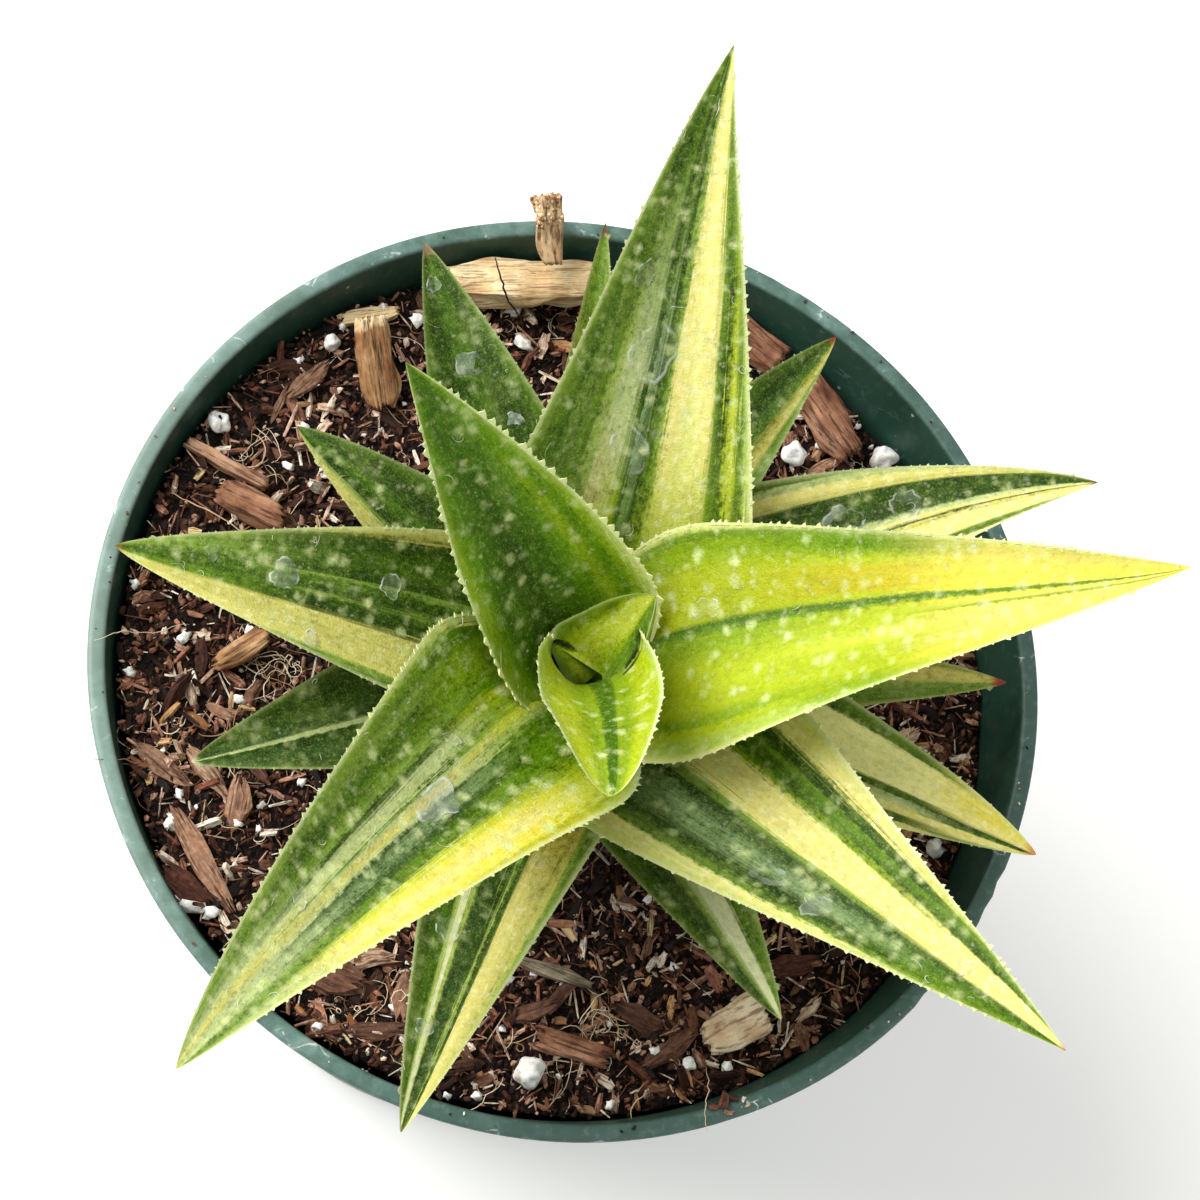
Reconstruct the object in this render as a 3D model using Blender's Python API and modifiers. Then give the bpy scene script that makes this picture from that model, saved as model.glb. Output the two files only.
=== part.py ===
"""A potted gasteraloe: a rosette of thick variegated leaves in a round nursery pot of bark mix.

Metres, +Z up. The origin is the centre of the pot's foot, and +X, +Y are level.
"""

import math

import bmesh
import bpy
from mathutils import Matrix, Vector
from mathutils.noise import noise

MM = 0.001
GAP = 0.3 * MM

# Pot
POT_HEIGHT = 90 * MM
RIM_RADIUS = 54 * MM
RIM_LIP = 2 * MM
COLLAR_HEIGHT = 7 * MM
COLLAR_DRAFT = 1.25 * MM
WALL = 1.1 * MM
FOOT_RADIUS = 38 * MM
FLOOR_HEIGHT = 3 * MM
FOOT_RING_WIDTH = 3 * MM
FOOT_RECESS = 1.5 * MM
FOOT_DISC_RADIUS = 12 * MM
DRAIN_HOLES = 8
DRAIN_HOLE_RADIUS = 2.5 * MM
DRAIN_CIRCLE_RADIUS = 24 * MM
POT_STEPS = 48

# Potting mix
SOIL_LEVEL = 82 * MM
SOIL_SLOPE = -0.05
SOIL_DIP = 1.8 * MM
SOIL_DIP_RADIUS = 14 * MM
SOIL_BUMP = 0.7 * MM
SOIL_BUMP_SIZE = 9 * MM
SOIL_WALL_GAP = 0.5 * MM
SOIL_CORNER = 2 * MM
SOIL_STEPS = 40
SOIL_RINGS = (0.84, 0.66, 0.49, 0.33, 0.18)

# Stem
STEM_FOOT = Vector((-1.0, 3.5, 83)) * MM
STEM_TOP = Vector((-0.8, -5.0, 100)) * MM
STEM_FOOT_RADIUS = 4.4 * MM
STEM_TOP_RADIUS = 2.0 * MM
STEM_SIDES = 16
STEM_BURIED = 14 * MM
STEM_END = 101.2 * MM

# Leaves
LEAF_SPACING = 1.25 * MM
LEAF_OFFSET = 1.2 * MM
STATIONS = (0, 0.04, 0.1, 0.18, 0.28, 0.4, 0.52, 0.64, 0.76, 0.87, 0.95, 1)
ACROSS_TOP = (1, 0.66, 0.33, 0, -0.33, -0.66, -1)
ACROSS_UNDER = (-0.66, -0.33, 0, 0.33, 0.66)
SWELL_END = 0.25
THICKEST = 0.36
TIP_HALF_WIDTH = 0.3 * MM
TIP_THICKNESS = 0.35 * MM

# One row a leaf, oldest first: the direction it points, how far it turns sideways along its
# length, length, width, rise at the base, rise at the tip, roll, thickness, dish and taper. The
# angles are degrees and the sizes are millimetres. The dish is the rise of a margin over its
# half width, and a lower taper keeps the leaf wide for longer.
LEAVES = (
    (85, 0, 43, 12, 15, 4, 0, 2.4, 0.25, 0.8),
    (353, 6, 46, 14, 13, 6, 0, 2.6, 0.25, 0.8),
    (144, -1, 34, 16, 18, 4, 0, 2.8, 0.25, 0.8),
    (296, 5, 44, 18, 17, 3, 0, 3.0, 0.25, 0.8),
    (54, -7, 44, 16, 20, 5, 0, 3.0, 0.25, 0.8),
    (204, -5, 41, 18, 21, 5, 0, 3.2, 0.25, 0.75),
    (336, -3, 50, 19, 25, 3, 0, 3.4, 0.25, 0.75),
    (115, -4, 45, 19, 25, 11, 0, 3.4, 0.25, 0.8),
    (250, 0, 56, 20, 25, 7, 0, 3.1, 0.25, 0.8),
    (26, -17, 59, 22, 31, 6, -1, 3.2, 0.25, 0.8),
    (175, -2, 52, 22, 31, 11, 0, 3.8, 0.25, 0.8),
    (310, 9, 67, 25, 33, 15, 1, 4.0, 0.25, 0.75),
    (78, 3, 67, 27, 39, 22, 6, 4.8, 0.25, 0.8),
    (229, 2, 77, 26, 52, 14, -1, 4.6, 0.25, 0.7),
    (4, -2, 63, 25.5, 50, 20, -3, 4.6, 0.28, 0.8),
    (135, -1, 42, 19, 58, 30, -1, 3.5, 0.28, 0.85),
    (265, 2, 32, 14.5, 70, 44, -4, 2.0, 0.52, 0.55),
    (53, 0, 13, 9.5, 70, 58, 0, 1.7, 0.4, 0.7),
    (185, 0, 8, 5, 75, 70, 0, 1.4, 0.35, 0.6),
)

# One row a chip of bark or wood: place x, y, height over the mix, length, width, thickness,
# direction and tilt, in millimetres and degrees.
CHIPS = (
    ("wood_block", -5.7, 46.6, 0.0, 17.0, 4.6, 4.0, 6, 0),
    ("wood_stick", -3.5, 51.3, 8.4, 8.0, 2.6, 1.6, 102, 32),
    ("bark_flake_back", -22.5, 36.0, 1.5, 10.0, 4.6, 1.6, 103, 20),
    ("bark_wedge_left", -36.5, 17.5, 0.0, 7.6, 3.4, 2.6, -21, 0),
    ("bark_reed_left", -39.5, 22.5, 0.4, 10.0, 1.5, 1.2, -26, 0),
    ("bark_chip_back", -23.6, 42.4, 0.0, 6.6, 2.0, 1.4, 16, 0),
    ("bark_chip_left", -37.0, 0.5, 0.0, 5.6, 2.9, 1.4, 4, 0),
    ("bark_slab_right", 22.6, 42.4, 1.2, 7.0, 3.8, 2.6, -36, 0),
    ("bark_slab_low", 31.0, 34.6, 0.4, 12.0, 4.4, 2.8, -56, 0),
    ("wood_flake_front", 19.5, -39.5, 0.0, 7.2, 5.0, 1.6, 29, 0),
    ("bark_chip_front", 0.8, -42.7, 0.0, 7.0, 2.8, 1.6, -17, 0),
    ("bark_splinter_front", -1.0, -34.5, 0.4, 8.3, 1.5, 1.2, -18, 0),
)
CHIP_BEVEL = 0.35 * MM
CHIP_NARROWING = 0.82

# One row a grain of perlite: place x, y and diameter, in millimetres.
PERLITE = (
    (-4.0, -45.6, 4.1),
    (38.6, 29.4, 3.0),
    (27.5, 29.0, 2.9),
    (-40.5, 27.5, 2.5),
    (14.0, -44.0, 2.2),
    (-28.0, 38.6, 2.0),
)

KNOBBLE = 0.12
KNOBBLE_SIZE = 1.1 * MM

LEAF_GREEN = (0.10, 0.19, 0.045)
LEAF_LIME = (0.36, 0.44, 0.05)
LEAF_CREAM = (0.62, 0.62, 0.22)
POT_GREEN = (0.020, 0.050, 0.040)
SOIL_BROWN = (0.055, 0.028, 0.017)
STEM_GREEN = (0.25, 0.28, 0.12)
WOOD_TAN = (0.42, 0.29, 0.17)
BARK_BROWN = (0.20, 0.10, 0.06)
PERLITE_WHITE = (0.80, 0.79, 0.75)


def clear_scene():
    for obj in list(bpy.data.objects):
        bpy.data.objects.remove(obj)


def new_collection(name):
    collection = bpy.data.collections.new(name)
    bpy.context.scene.collection.children.link(collection)
    return collection


def new_material(name, color, roughness):
    material = bpy.data.materials.new(name)
    material.use_nodes = True
    shader = material.node_tree.nodes["Principled BSDF"]
    shader.inputs["Base Color"].default_value = (*color, 1)
    shader.inputs["Roughness"].default_value = roughness
    shader.inputs["Metallic"].default_value = 0
    return material


def new_object(name, mesh, collection, material=None):
    obj = bpy.data.objects.new(name, mesh)
    collection.objects.link(obj)
    if material:
        mesh.materials.append(material)
    return obj


def mesh_from(bm, name, smooth_angle=None):
    bmesh.ops.recalc_face_normals(bm, faces=bm.faces)
    mesh = bpy.data.meshes.new(name)
    bm.to_mesh(mesh)
    bm.free()
    if smooth_angle is not None:
        mesh.shade_smooth()
        mesh.set_sharp_from_angle(angle=math.radians(smooth_angle))
    return mesh


def loft(bm, sections):
    """Skins a stack of rings with the same number of points, and caps both ends."""
    rings = []
    for points in sections:
        ring = bmesh.ops.create_circle(bm, segments=len(points), radius=1)["verts"]
        for vert, point in zip(ring, points):
            vert.co = point
        rings.append(ring)
    for low, high in zip(rings, rings[1:]):
        edges = []
        for ring in (low, high):
            ring_set = set(ring)
            edges += [e for v in ring for e in v.link_edges if set(e.verts) <= ring_set]
        bmesh.ops.bridge_loops(bm, edges=list(set(edges)))
    bmesh.ops.holes_fill(bm, edges=[e for e in bm.edges if e.is_boundary], sides=0)


def pot_inner_radius(z):
    """The inside of the pot tapers evenly from the lip to the floor."""
    top = RIM_RADIUS - RIM_LIP
    foot = FOOT_RADIUS - WALL
    return foot + (top - foot) * (z - FLOOR_HEIGHT) / (POT_HEIGHT - FLOOR_HEIGHT)


def soil_height(x, y):
    """Height of the mix at a place: a slope, a dip round the stem and small bumps."""
    from_stem = math.hypot(x - STEM_FOOT.x, y - STEM_FOOT.y)
    dip = SOIL_DIP * math.exp(-((from_stem / SOIL_DIP_RADIUS) ** 2))
    bump = SOIL_BUMP * noise(Vector((x, y, 0)) / SOIL_BUMP_SIZE)
    return SOIL_LEVEL + SOIL_SLOPE * x - dip + bump


def pot_profile():
    """The wall's section from the top of the lip, down the outside, under the foot and back up."""
    collar_foot = POT_HEIGHT - COLLAR_HEIGHT
    body_top = pot_inner_radius(collar_foot) + WALL
    disc_edge = FOOT_DISC_RADIUS
    ring_inside = FOOT_RADIUS - FOOT_RING_WIDTH
    return (
        (RIM_RADIUS - 0.3 * MM, POT_HEIGHT),
        (RIM_RADIUS, POT_HEIGHT - 0.3 * MM),
        (RIM_RADIUS - COLLAR_DRAFT, collar_foot + 0.4 * MM),
        (RIM_RADIUS - COLLAR_DRAFT - 0.4 * MM, collar_foot),
        (body_top + 0.3 * MM, collar_foot),
        (body_top, collar_foot - 0.4 * MM),
        (FOOT_RADIUS + 0.6 * MM, FLOOR_HEIGHT),
        (FOOT_RADIUS, 0.5 * MM),
        (FOOT_RADIUS - 0.5 * MM, 0),
        (ring_inside, 0),
        (ring_inside - 0.5 * MM, FOOT_RECESS),
        (disc_edge + 0.5 * MM, FOOT_RECESS),
        (disc_edge, 0),
        (0, 0),
    ), (
        (0, FLOOR_HEIGHT),
        (FOOT_RADIUS - WALL - 1.5 * MM, FLOOR_HEIGHT),
        (pot_inner_radius(FLOOR_HEIGHT + 1.5 * MM), FLOOR_HEIGHT + 1.5 * MM),
        (RIM_RADIUS - RIM_LIP, POT_HEIGHT - 0.3 * MM),
        (RIM_RADIUS - RIM_LIP + 0.3 * MM, POT_HEIGHT),
    )


def build_pot(collection, cutters, material):
    outside, inside = pot_profile()
    bm = bmesh.new()
    verts = [bm.verts.new((r, 0, z)) for r, z in outside + inside]
    for i in range(len(verts)):
        if i != len(outside) - 1:
            bm.edges.new((verts[i], verts[(i + 1) % len(verts)]))
    mesh = bpy.data.meshes.new("pot")
    bm.to_mesh(mesh)
    bm.free()
    pot = new_object("pot", mesh, collection, material)
    screw = pot.modifiers.new("Turn", "SCREW")
    screw.steps = screw.render_steps = POT_STEPS
    screw.use_merge_vertices = True
    screw.merge_threshold = 0.00005
    screw.use_smooth_shade = True
    holes = build_drain_holes(cutters)
    cut = pot.modifiers.new("Drain holes", "BOOLEAN")
    cut.object = holes
    return pot


def build_drain_holes(cutters):
    bm = bmesh.new()
    for i in range(DRAIN_HOLES):
        turn = Matrix.Rotation(math.tau * (i + 0.5) / DRAIN_HOLES, 4, "Z")
        place = Matrix.Translation((DRAIN_CIRCLE_RADIUS, 0, FLOOR_HEIGHT / 2))
        bmesh.ops.create_cone(
            bm, cap_ends=True, segments=12, radius1=DRAIN_HOLE_RADIUS,
            radius2=DRAIN_HOLE_RADIUS, depth=3 * FLOOR_HEIGHT, matrix=turn @ place,
        )
    holes = new_object("drain_hole_cutter", mesh_from(bm, "drain_hole_cutter"), cutters)
    hide_cutter(holes)
    return holes


def hide_cutter(cutter):
    cutter.hide_render = True
    cutter.display_type = "WIRE"


def soil_ring(radius, height=None):
    """A ring of points round the pot's axis, at one height or on the top of the mix."""
    points = []
    for i in range(SOIL_STEPS):
        angle = math.tau * i / SOIL_STEPS
        x = radius * math.cos(angle)
        y = radius * math.sin(angle)
        points.append(Vector((x, y, soil_height(x, y) if height is None else height)))
    return points


def build_soil(collection, cutters, material):
    """The mix fills the pot to a little under the lip, with a socket for the stem."""
    bottom = FLOOR_HEIGHT + GAP
    corner_top = bottom + SOIL_CORNER
    corner_radius = pot_inner_radius(corner_top) - SOIL_WALL_GAP
    lowest_edge = SOIL_LEVEL + SOIL_SLOPE * RIM_RADIUS
    edge = pot_inner_radius(lowest_edge) - SOIL_WALL_GAP - SOIL_BUMP
    sections = [
        soil_ring(corner_radius - SOIL_CORNER, bottom),
        soil_ring(corner_radius, corner_top),
        soil_ring(edge),
    ]
    sections += [soil_ring(edge * share) for share in SOIL_RINGS]
    bm = bmesh.new()
    loft(bm, sections)
    soil = new_object("potting_mix", mesh_from(bm, "potting_mix", 50), collection, material)
    bm = bmesh.new()
    stem_cone(bm, 2 * GAP)
    socket = new_object("stem_socket_cutter", mesh_from(bm, "stem_socket_cutter"), cutters)
    hide_cutter(socket)
    cut = soil.modifiers.new("Stem socket", "BOOLEAN")
    cut.object = socket
    return soil


def stem_point(z):
    """Where the leaning stem's axis is at a height."""
    share = (z - STEM_FOOT.z) / (STEM_TOP.z - STEM_FOOT.z)
    return STEM_FOOT.lerp(STEM_TOP, share)


def stem_radius(z):
    """The stem tapers from its buried end to its top."""
    share = (z - STEM_FOOT.z) / (STEM_END - STEM_FOOT.z)
    return STEM_FOOT_RADIUS + (STEM_TOP_RADIUS - STEM_FOOT_RADIUS) * max(share, 0)


def stem_cone(bm, extra):
    """The stem's solid, or with extra the room that it needs."""
    axis = (STEM_TOP - STEM_FOOT).normalized()
    foot = STEM_FOOT - axis * (STEM_BURIED + extra)
    end = stem_point(STEM_END)
    middle = (foot + end) / 2
    turn = axis.to_track_quat("Z", "Y").to_matrix().to_4x4()
    bmesh.ops.create_cone(
        bm, cap_ends=True, segments=STEM_SIDES, radius1=STEM_FOOT_RADIUS + extra,
        radius2=STEM_TOP_RADIUS + extra, depth=(end - foot).length, matrix=Matrix.Translation(middle) @ turn,
    )


def build_stem(collection, material):
    bm = bmesh.new()
    stem_cone(bm, 0)
    return new_object("stem", mesh_from(bm, "stem", 40), collection, material)


def leaf_width(t, taper):
    """Half width along a leaf, 1 at its widest: a narrow base, a swell and a long taper."""
    swell = 0.38 + 0.62 * math.sin(min(t / SWELL_END, 1) * math.pi / 2)
    return swell * ((1 - t) / (1 - SWELL_END)) ** taper


def leaf_thickness(t):
    """Thickness along a leaf, 1 at its thickest."""
    swell = 0.3 + 0.7 * math.sin(min(t / THICKEST, 1) * math.pi / 2)
    return swell * ((1 - t) / (1 - THICKEST)) ** 0.55


def leaf_frames(base, turn, bend, length, rise, tip_rise, roll):
    """Point, side and up vectors at each station of a leaf's spine."""
    frames = []
    point = Vector(base)
    for i, t in enumerate(STATIONS):
        if i:
            middle = (t + STATIONS[i - 1]) / 2
            point = point + spine_direction(middle, turn, bend, rise, tip_rise) * (
                length * (t - STATIONS[i - 1])
            )
        along = spine_direction(t, turn, bend, rise, tip_rise)
        heading = math.radians(turn + bend * t)
        level_side = Vector((-math.sin(heading), math.cos(heading), 0))
        tilt = Matrix.Rotation(math.radians(roll), 3, along)
        side = tilt @ level_side
        frames.append((point, side, along.cross(side)))
    return frames


def spine_direction(t, turn, bend, rise, tip_rise):
    heading = math.radians(turn + bend * t)
    pitch = math.radians(rise + (tip_rise - rise) * t)
    return Vector((
        math.cos(pitch) * math.cos(heading),
        math.cos(pitch) * math.sin(heading),
        math.sin(pitch),
    ))


def leaf_section(frame, half_width, thickness, dish):
    """A dished top and a keeled underside that meet at the two margins."""
    point, side, up = frame
    section = [
        point + side * (half_width * x) + up * (dish * half_width * x * x) for x in ACROSS_TOP
    ]
    section += [
        point + side * (half_width * x)
        + up * (dish * half_width * x * x - thickness * (1 - abs(x) ** 1.6))
        for x in ACROSS_UNDER
    ]
    return section


def build_leaf(name, base_height, offset, row, collection, material):
    turn, bend, length, width, rise, tip_rise, roll, thickness, dish, taper = row
    heading = math.radians(turn)
    out = Vector((math.cos(heading), math.sin(heading), 0)) * offset
    base = stem_point(base_height) + out
    frames = leaf_frames(base, turn, bend, length * MM, rise, tip_rise, roll)
    sections = []
    for t, frame in zip(STATIONS, frames):
        half_width = max(width * MM / 2 * leaf_width(t, taper), TIP_HALF_WIDTH)
        depth = max(thickness * MM * leaf_thickness(t), TIP_THICKNESS)
        sections.append(leaf_section(frame, half_width, depth, dish))
    bm = bmesh.new()
    loft(bm, sections)
    return new_object(name, mesh_from(bm, name, 50), collection, material)


def build_leaves(collection):
    green = new_material("leaf_green", LEAF_GREEN, 0.45)
    lime = new_material("leaf_lime", LEAF_LIME, 0.42)
    youngest = len(LEAVES)
    for i, row in enumerate(LEAVES):
        number = youngest - i
        material = lime if number <= 5 else green
        height = STEM_FOOT.z + i * LEAF_SPACING
        offset = (stem_radius(height) + LEAF_OFFSET) * min(1, 0.2 + 0.2 * number)
        build_leaf(f"leaf_{number:02d}", height, offset, row, collection, material)


def build_chip(row, collection, material):
    """A split piece of bark: a bevelled block lying on the mix, a little narrower at one end."""
    name, x, y, lift, length, width, thickness, turn, tilt = row
    bm = bmesh.new()
    bmesh.ops.create_cube(bm, size=1)
    for vert in bm.verts:
        narrowing = CHIP_NARROWING if vert.co.x > 0 else 1
        vert.co = Vector((
            vert.co.x * length, vert.co.y * width * narrowing, vert.co.z * thickness,
        )) * MM
    bmesh.ops.bevel(
        bm, geom=bm.edges, offset=CHIP_BEVEL, segments=1, profile=0.5, affect="EDGES",
    )
    chip = new_object(name, mesh_from(bm, name), collection, material)
    slope = -math.atan(SOIL_SLOPE)
    level = soil_height(x * MM, y * MM)
    rest = level + SOIL_BUMP + (thickness / 2 + lift) * MM
    chip.location = (x * MM, y * MM, rest)
    lean = Matrix.Rotation(slope, 3, "Y")
    turned = Matrix.Rotation(math.radians(turn), 3, "Z")
    tilted = Matrix.Rotation(math.radians(-tilt), 3, "Y")
    chip.rotation_euler = (lean @ turned @ tilted).to_euler()
    return chip


def build_perlite(number, x, y, diameter, collection, material):
    """A grain of expanded rock: a knobbly ball resting on the mix."""
    name = f"perlite_grain_{number}"
    bm = bmesh.new()
    bmesh.ops.create_icosphere(bm, subdivisions=2, radius=diameter / 2 * MM)
    for vert in bm.verts:
        vert.co *= 1 + KNOBBLE * noise(vert.co / KNOBBLE_SIZE + Vector((number, 0, 0)))
    grain = new_object(name, mesh_from(bm, name, 60), collection, material)
    level = soil_height(x * MM, y * MM)
    grain.location = (x * MM, y * MM, level + SOIL_BUMP + diameter / 2 * MM)
    return grain


def main():
    clear_scene()
    plant = new_collection("potted_gasteraloe")
    cutters = new_collection("cutters")
    build_pot(plant, cutters, new_material("pot_plastic", POT_GREEN, 0.5))
    build_soil(plant, cutters, new_material("potting_mix", SOIL_BROWN, 0.95))
    build_stem(plant, new_material("stem_tissue", STEM_GREEN, 0.6))
    build_leaves(plant)
    wood = new_material("pale_wood", WOOD_TAN, 0.8)
    bark = new_material("bark", BARK_BROWN, 0.9)
    for row in CHIPS:
        build_chip(row, plant, wood if row[0].startswith("wood") else bark)
    white = new_material("perlite", PERLITE_WHITE, 0.9)
    for number, (x, y, diameter) in enumerate(PERLITE, start=1):
        build_perlite(number, x, y, diameter, plant, white)


main()
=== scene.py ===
import math
import random

import bpy
import numpy as np
from mathutils import Matrix, Vector, noise
from mathutils.bvhtree import BVHTree


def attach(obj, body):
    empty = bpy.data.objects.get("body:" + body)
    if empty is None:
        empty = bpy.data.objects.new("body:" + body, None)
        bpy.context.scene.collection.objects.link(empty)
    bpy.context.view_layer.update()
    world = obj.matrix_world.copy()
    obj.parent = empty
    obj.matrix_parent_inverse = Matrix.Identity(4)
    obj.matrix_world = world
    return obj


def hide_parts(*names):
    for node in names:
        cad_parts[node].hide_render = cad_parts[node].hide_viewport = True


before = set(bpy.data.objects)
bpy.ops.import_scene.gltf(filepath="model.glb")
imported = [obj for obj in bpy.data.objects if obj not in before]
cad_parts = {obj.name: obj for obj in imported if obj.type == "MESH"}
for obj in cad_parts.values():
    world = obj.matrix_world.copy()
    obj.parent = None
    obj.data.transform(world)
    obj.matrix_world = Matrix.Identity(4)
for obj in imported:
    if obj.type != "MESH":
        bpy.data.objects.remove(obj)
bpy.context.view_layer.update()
bpy.ops.object.select_all(action="DESELECT")

mm = 0.001


# small helpers for nodes and meshes

def hexColour(text):
    parts = [int(text[i:i + 2], 16) / 255 for i in (1, 3, 5)]
    linear = [c / 12.92 if c <= 0.04045 else ((c + 0.055) / 1.055) ** 2.4 for c in parts]
    return (*linear, 1.0)


def addNode(tree, kind, settings=None, inputs=None):
    made = tree.nodes.new(kind)
    for name, value in (settings or {}).items():
        setattr(made, name, value)
    for key, value in (inputs or {}).items():
        if isinstance(value, bpy.types.NodeSocket):
            tree.links.new(value, made.inputs[key])
        else:
            made.inputs[key].default_value = value
    return made


def calc(tree, operation, a, b=0.5, c=0.5):
    return addNode(tree, "ShaderNodeMath", {"operation": operation}, {0: a, 1: b, 2: c}).outputs[0]


def plus(tree, a, b):
    return calc(tree, "ADD", a, b)


def times(tree, a, b):
    return calc(tree, "MULTIPLY", a, b)


def timesPlus(tree, a, b, c):
    return calc(tree, "MULTIPLY_ADD", a, b, c)


def swing(tree, pattern, share, base):
    # adds a share of a pattern's swing about its middle to a value
    return timesPlus(tree, calc(tree, "SUBTRACT", pattern, 0.5), share, base)


def blendColour(tree, factor, a, b, kind="MIX"):
    settings = {"data_type": "RGBA", "blend_type": kind, "clamp_factor": True}
    return addNode(tree, "ShaderNodeMix", settings, {0: factor, 6: a, 7: b}).outputs[2]


def tint(tree, colour, factor, text, kind="MIX"):
    return blendColour(tree, factor, colour, hexColour(text), kind)


def objectPlace(tree):
    return addNode(tree, "ShaderNodeTexCoord").outputs["Object"]


def pointValue(tree, name):
    return addNode(tree, "ShaderNodeAttribute", {"attribute_name": name}).outputs["Fac"]


def firstOf(tree, vector):
    return addNode(tree, "ShaderNodeSeparateXYZ", None, {0: vector}).outputs[0]


def smoothStep(tree, value, low, high, bottom=0.0, top=1.0):
    settings = {"interpolation_type": "SMOOTHSTEP", "clamp": True}
    inputs = {"Value": value, "From Min": low, "From Max": high, "To Min": bottom, "To Max": top}
    return addNode(tree, "ShaderNodeMapRange", settings, inputs).outputs[0]


def colourRamp(tree, factor, stops, mode="LINEAR", names=None):
    # "8 #829f0c, 40 mid" puts a colour at eight hundredths of the way and a named one at forty
    words = [stop.split() for stop in stops.split(", ")]
    stops = [(float(place) / 100, hexColour((names or {}).get(colour, colour))) for place, colour in words]
    made = addNode(tree, "ShaderNodeValToRGB", None, {0: factor})
    made.color_ramp.interpolation = mode
    elements = made.color_ramp.elements
    elements.remove(elements[-1])
    elements[0].position, elements[0].color = stops[0]
    for place, colour in stops[1:]:
        elements.new(place).color = colour
    return made.outputs[0]


def vectorCalc(tree, operation, *values):
    inputs = dict(enumerate(values))
    return addNode(tree, "ShaderNodeVectorMath", {"operation": operation}, inputs).outputs


def noiseOf(tree, vector, scale, detail=3.0, rough=0.5):
    scale = scale if isinstance(scale, tuple) else (scale,) * 3
    stretched = addNode(tree, "ShaderNodeMapping", None, {"Vector": vector, "Scale": scale}).outputs[0]
    inputs = {"Vector": stretched, "Scale": 1.0, "Detail": detail, "Roughness": rough}
    return addNode(tree, "ShaderNodeTexNoise", None, inputs).outputs[0]


def raggedCells(tree, place, warpScale, warpDetail, warpBy, cellScale, feature="F1"):
    # cells whose outlines are bent by a noise
    inputs = {"Vector": place, "Scale": warpScale, "Detail": warpDetail}
    warp = addNode(tree, "ShaderNodeTexNoise", None, inputs)
    bent = vectorCalc(tree, "MULTIPLY_ADD", warp.outputs["Color"], warpBy, place)[0]
    return addNode(tree, "ShaderNodeTexVoronoi", {"feature": feature}, {"Vector": bent, "Scale": cellScale})


def newFinish(name, roughness, specular):
    made = bpy.data.materials.new(name)
    made.use_nodes = True
    shader = made.node_tree.nodes["Principled BSDF"]
    shader.inputs["Roughness"].default_value = roughness
    shader.inputs["Specular IOR Level"].default_value = specular
    return made, made.node_tree, shader


def addBump(tree, shader, height, strength, distance):
    inputs = {"Height": height, "Strength": strength, "Distance": distance}
    tree.links.new(addNode(tree, "ShaderNodeBump", None, inputs).outputs[0], shader.inputs["Normal"])


def meshObject(name, points, faces, finish, smooth=True, floats=None, vectors=None, uvs=None):
    mesh = bpy.data.meshes.new(name)
    mesh.from_pydata((np.asarray(points) * mm).tolist(), [], faces)
    corners = np.empty(len(mesh.loops), np.int32)
    mesh.loops.foreach_get("vertex_index", corners)
    for key, values in (uvs or {}).items():
        layer = mesh.uv_layers.new(name=key)
        layer.data.foreach_set("uv", np.asarray(values, np.float32)[corners].ravel())
    for key, values in (floats or {}).items():
        layer = mesh.attributes.new(key, "FLOAT", "POINT")
        layer.data.foreach_set("value", np.asarray(values, np.float32))
    for key, values in (vectors or {}).items():
        layer = mesh.attributes.new(key, "FLOAT_VECTOR", "POINT")
        layer.data.foreach_set("vector", np.asarray(values, np.float32).ravel())
    mesh.materials.append(finish)
    mesh.polygons.foreach_set("use_smooth", [smooth] * len(mesh.polygons))
    made = bpy.data.objects.new(name, mesh)
    bpy.context.scene.collection.objects.link(made)
    mesh.update()
    return made


def takeMesh(obj):
    # reads an object's points in millimetres and its faces, then removes it
    points = np.empty(len(obj.data.vertices) * 3)
    obj.data.vertices.foreach_get("co", points)
    world = np.array(obj.matrix_world)
    points = points.reshape(-1, 3) @ world[:3, :3].T + world[:3, 3]
    faces = [tuple(p.vertices) for p in obj.data.polygons]
    bpy.data.objects.remove(obj)
    return points / mm, faces


def makeActive(obj):
    bpy.ops.object.select_all(action="DESELECT")
    obj.select_set(True)
    bpy.context.view_layer.objects.active = obj


def noiseAt(x, y, z):
    return noise.noise(Vector((x, y, z)))


def onCircle(radius, turn):
    return radius * math.cos(turn), radius * math.sin(turn)


def within(value, low, high):
    return min(max(value, low), high)


# camera, light and floor

studio = {
    "cameraPlace": (-0.049854, -0.099281, 0.407866),
    "cameraLooks": (0.15535, 0.31341, -0.93683),
    "lens": 90,
    "keyPlace": (-0.50, 0.26, 0.60),
    "keySize": 0.75,
    "keyPower": 10.4,
    "fillPlace": (0.45, -0.35, 0.55),
    "fillSize": 0.7,
    "fillPower": 1.3,
    "sky": 0.49,
    "floorSize": 3.0,
}


def lookMatrix(place, direction, upHint):
    forward = Vector(direction).normalized()
    right = forward.cross(Vector(upHint)).normalized()
    up = right.cross(forward)
    turned = Matrix((right, up, -forward)).transposed().to_4x4()
    return Matrix.Translation(place) @ turned


def softLight(name, place, size, power, colour):
    bpy.ops.object.light_add(type="AREA", location=place)
    made = bpy.context.object
    made.name = name
    made.data.shape = "DISK"
    made.data.size = size
    made.data.energy = power
    made.data.color = colour
    aim = Vector((0, 0, 0.09)) - Vector(place)
    made.matrix_world = lookMatrix(place, aim, (0, 0, 1))


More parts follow.
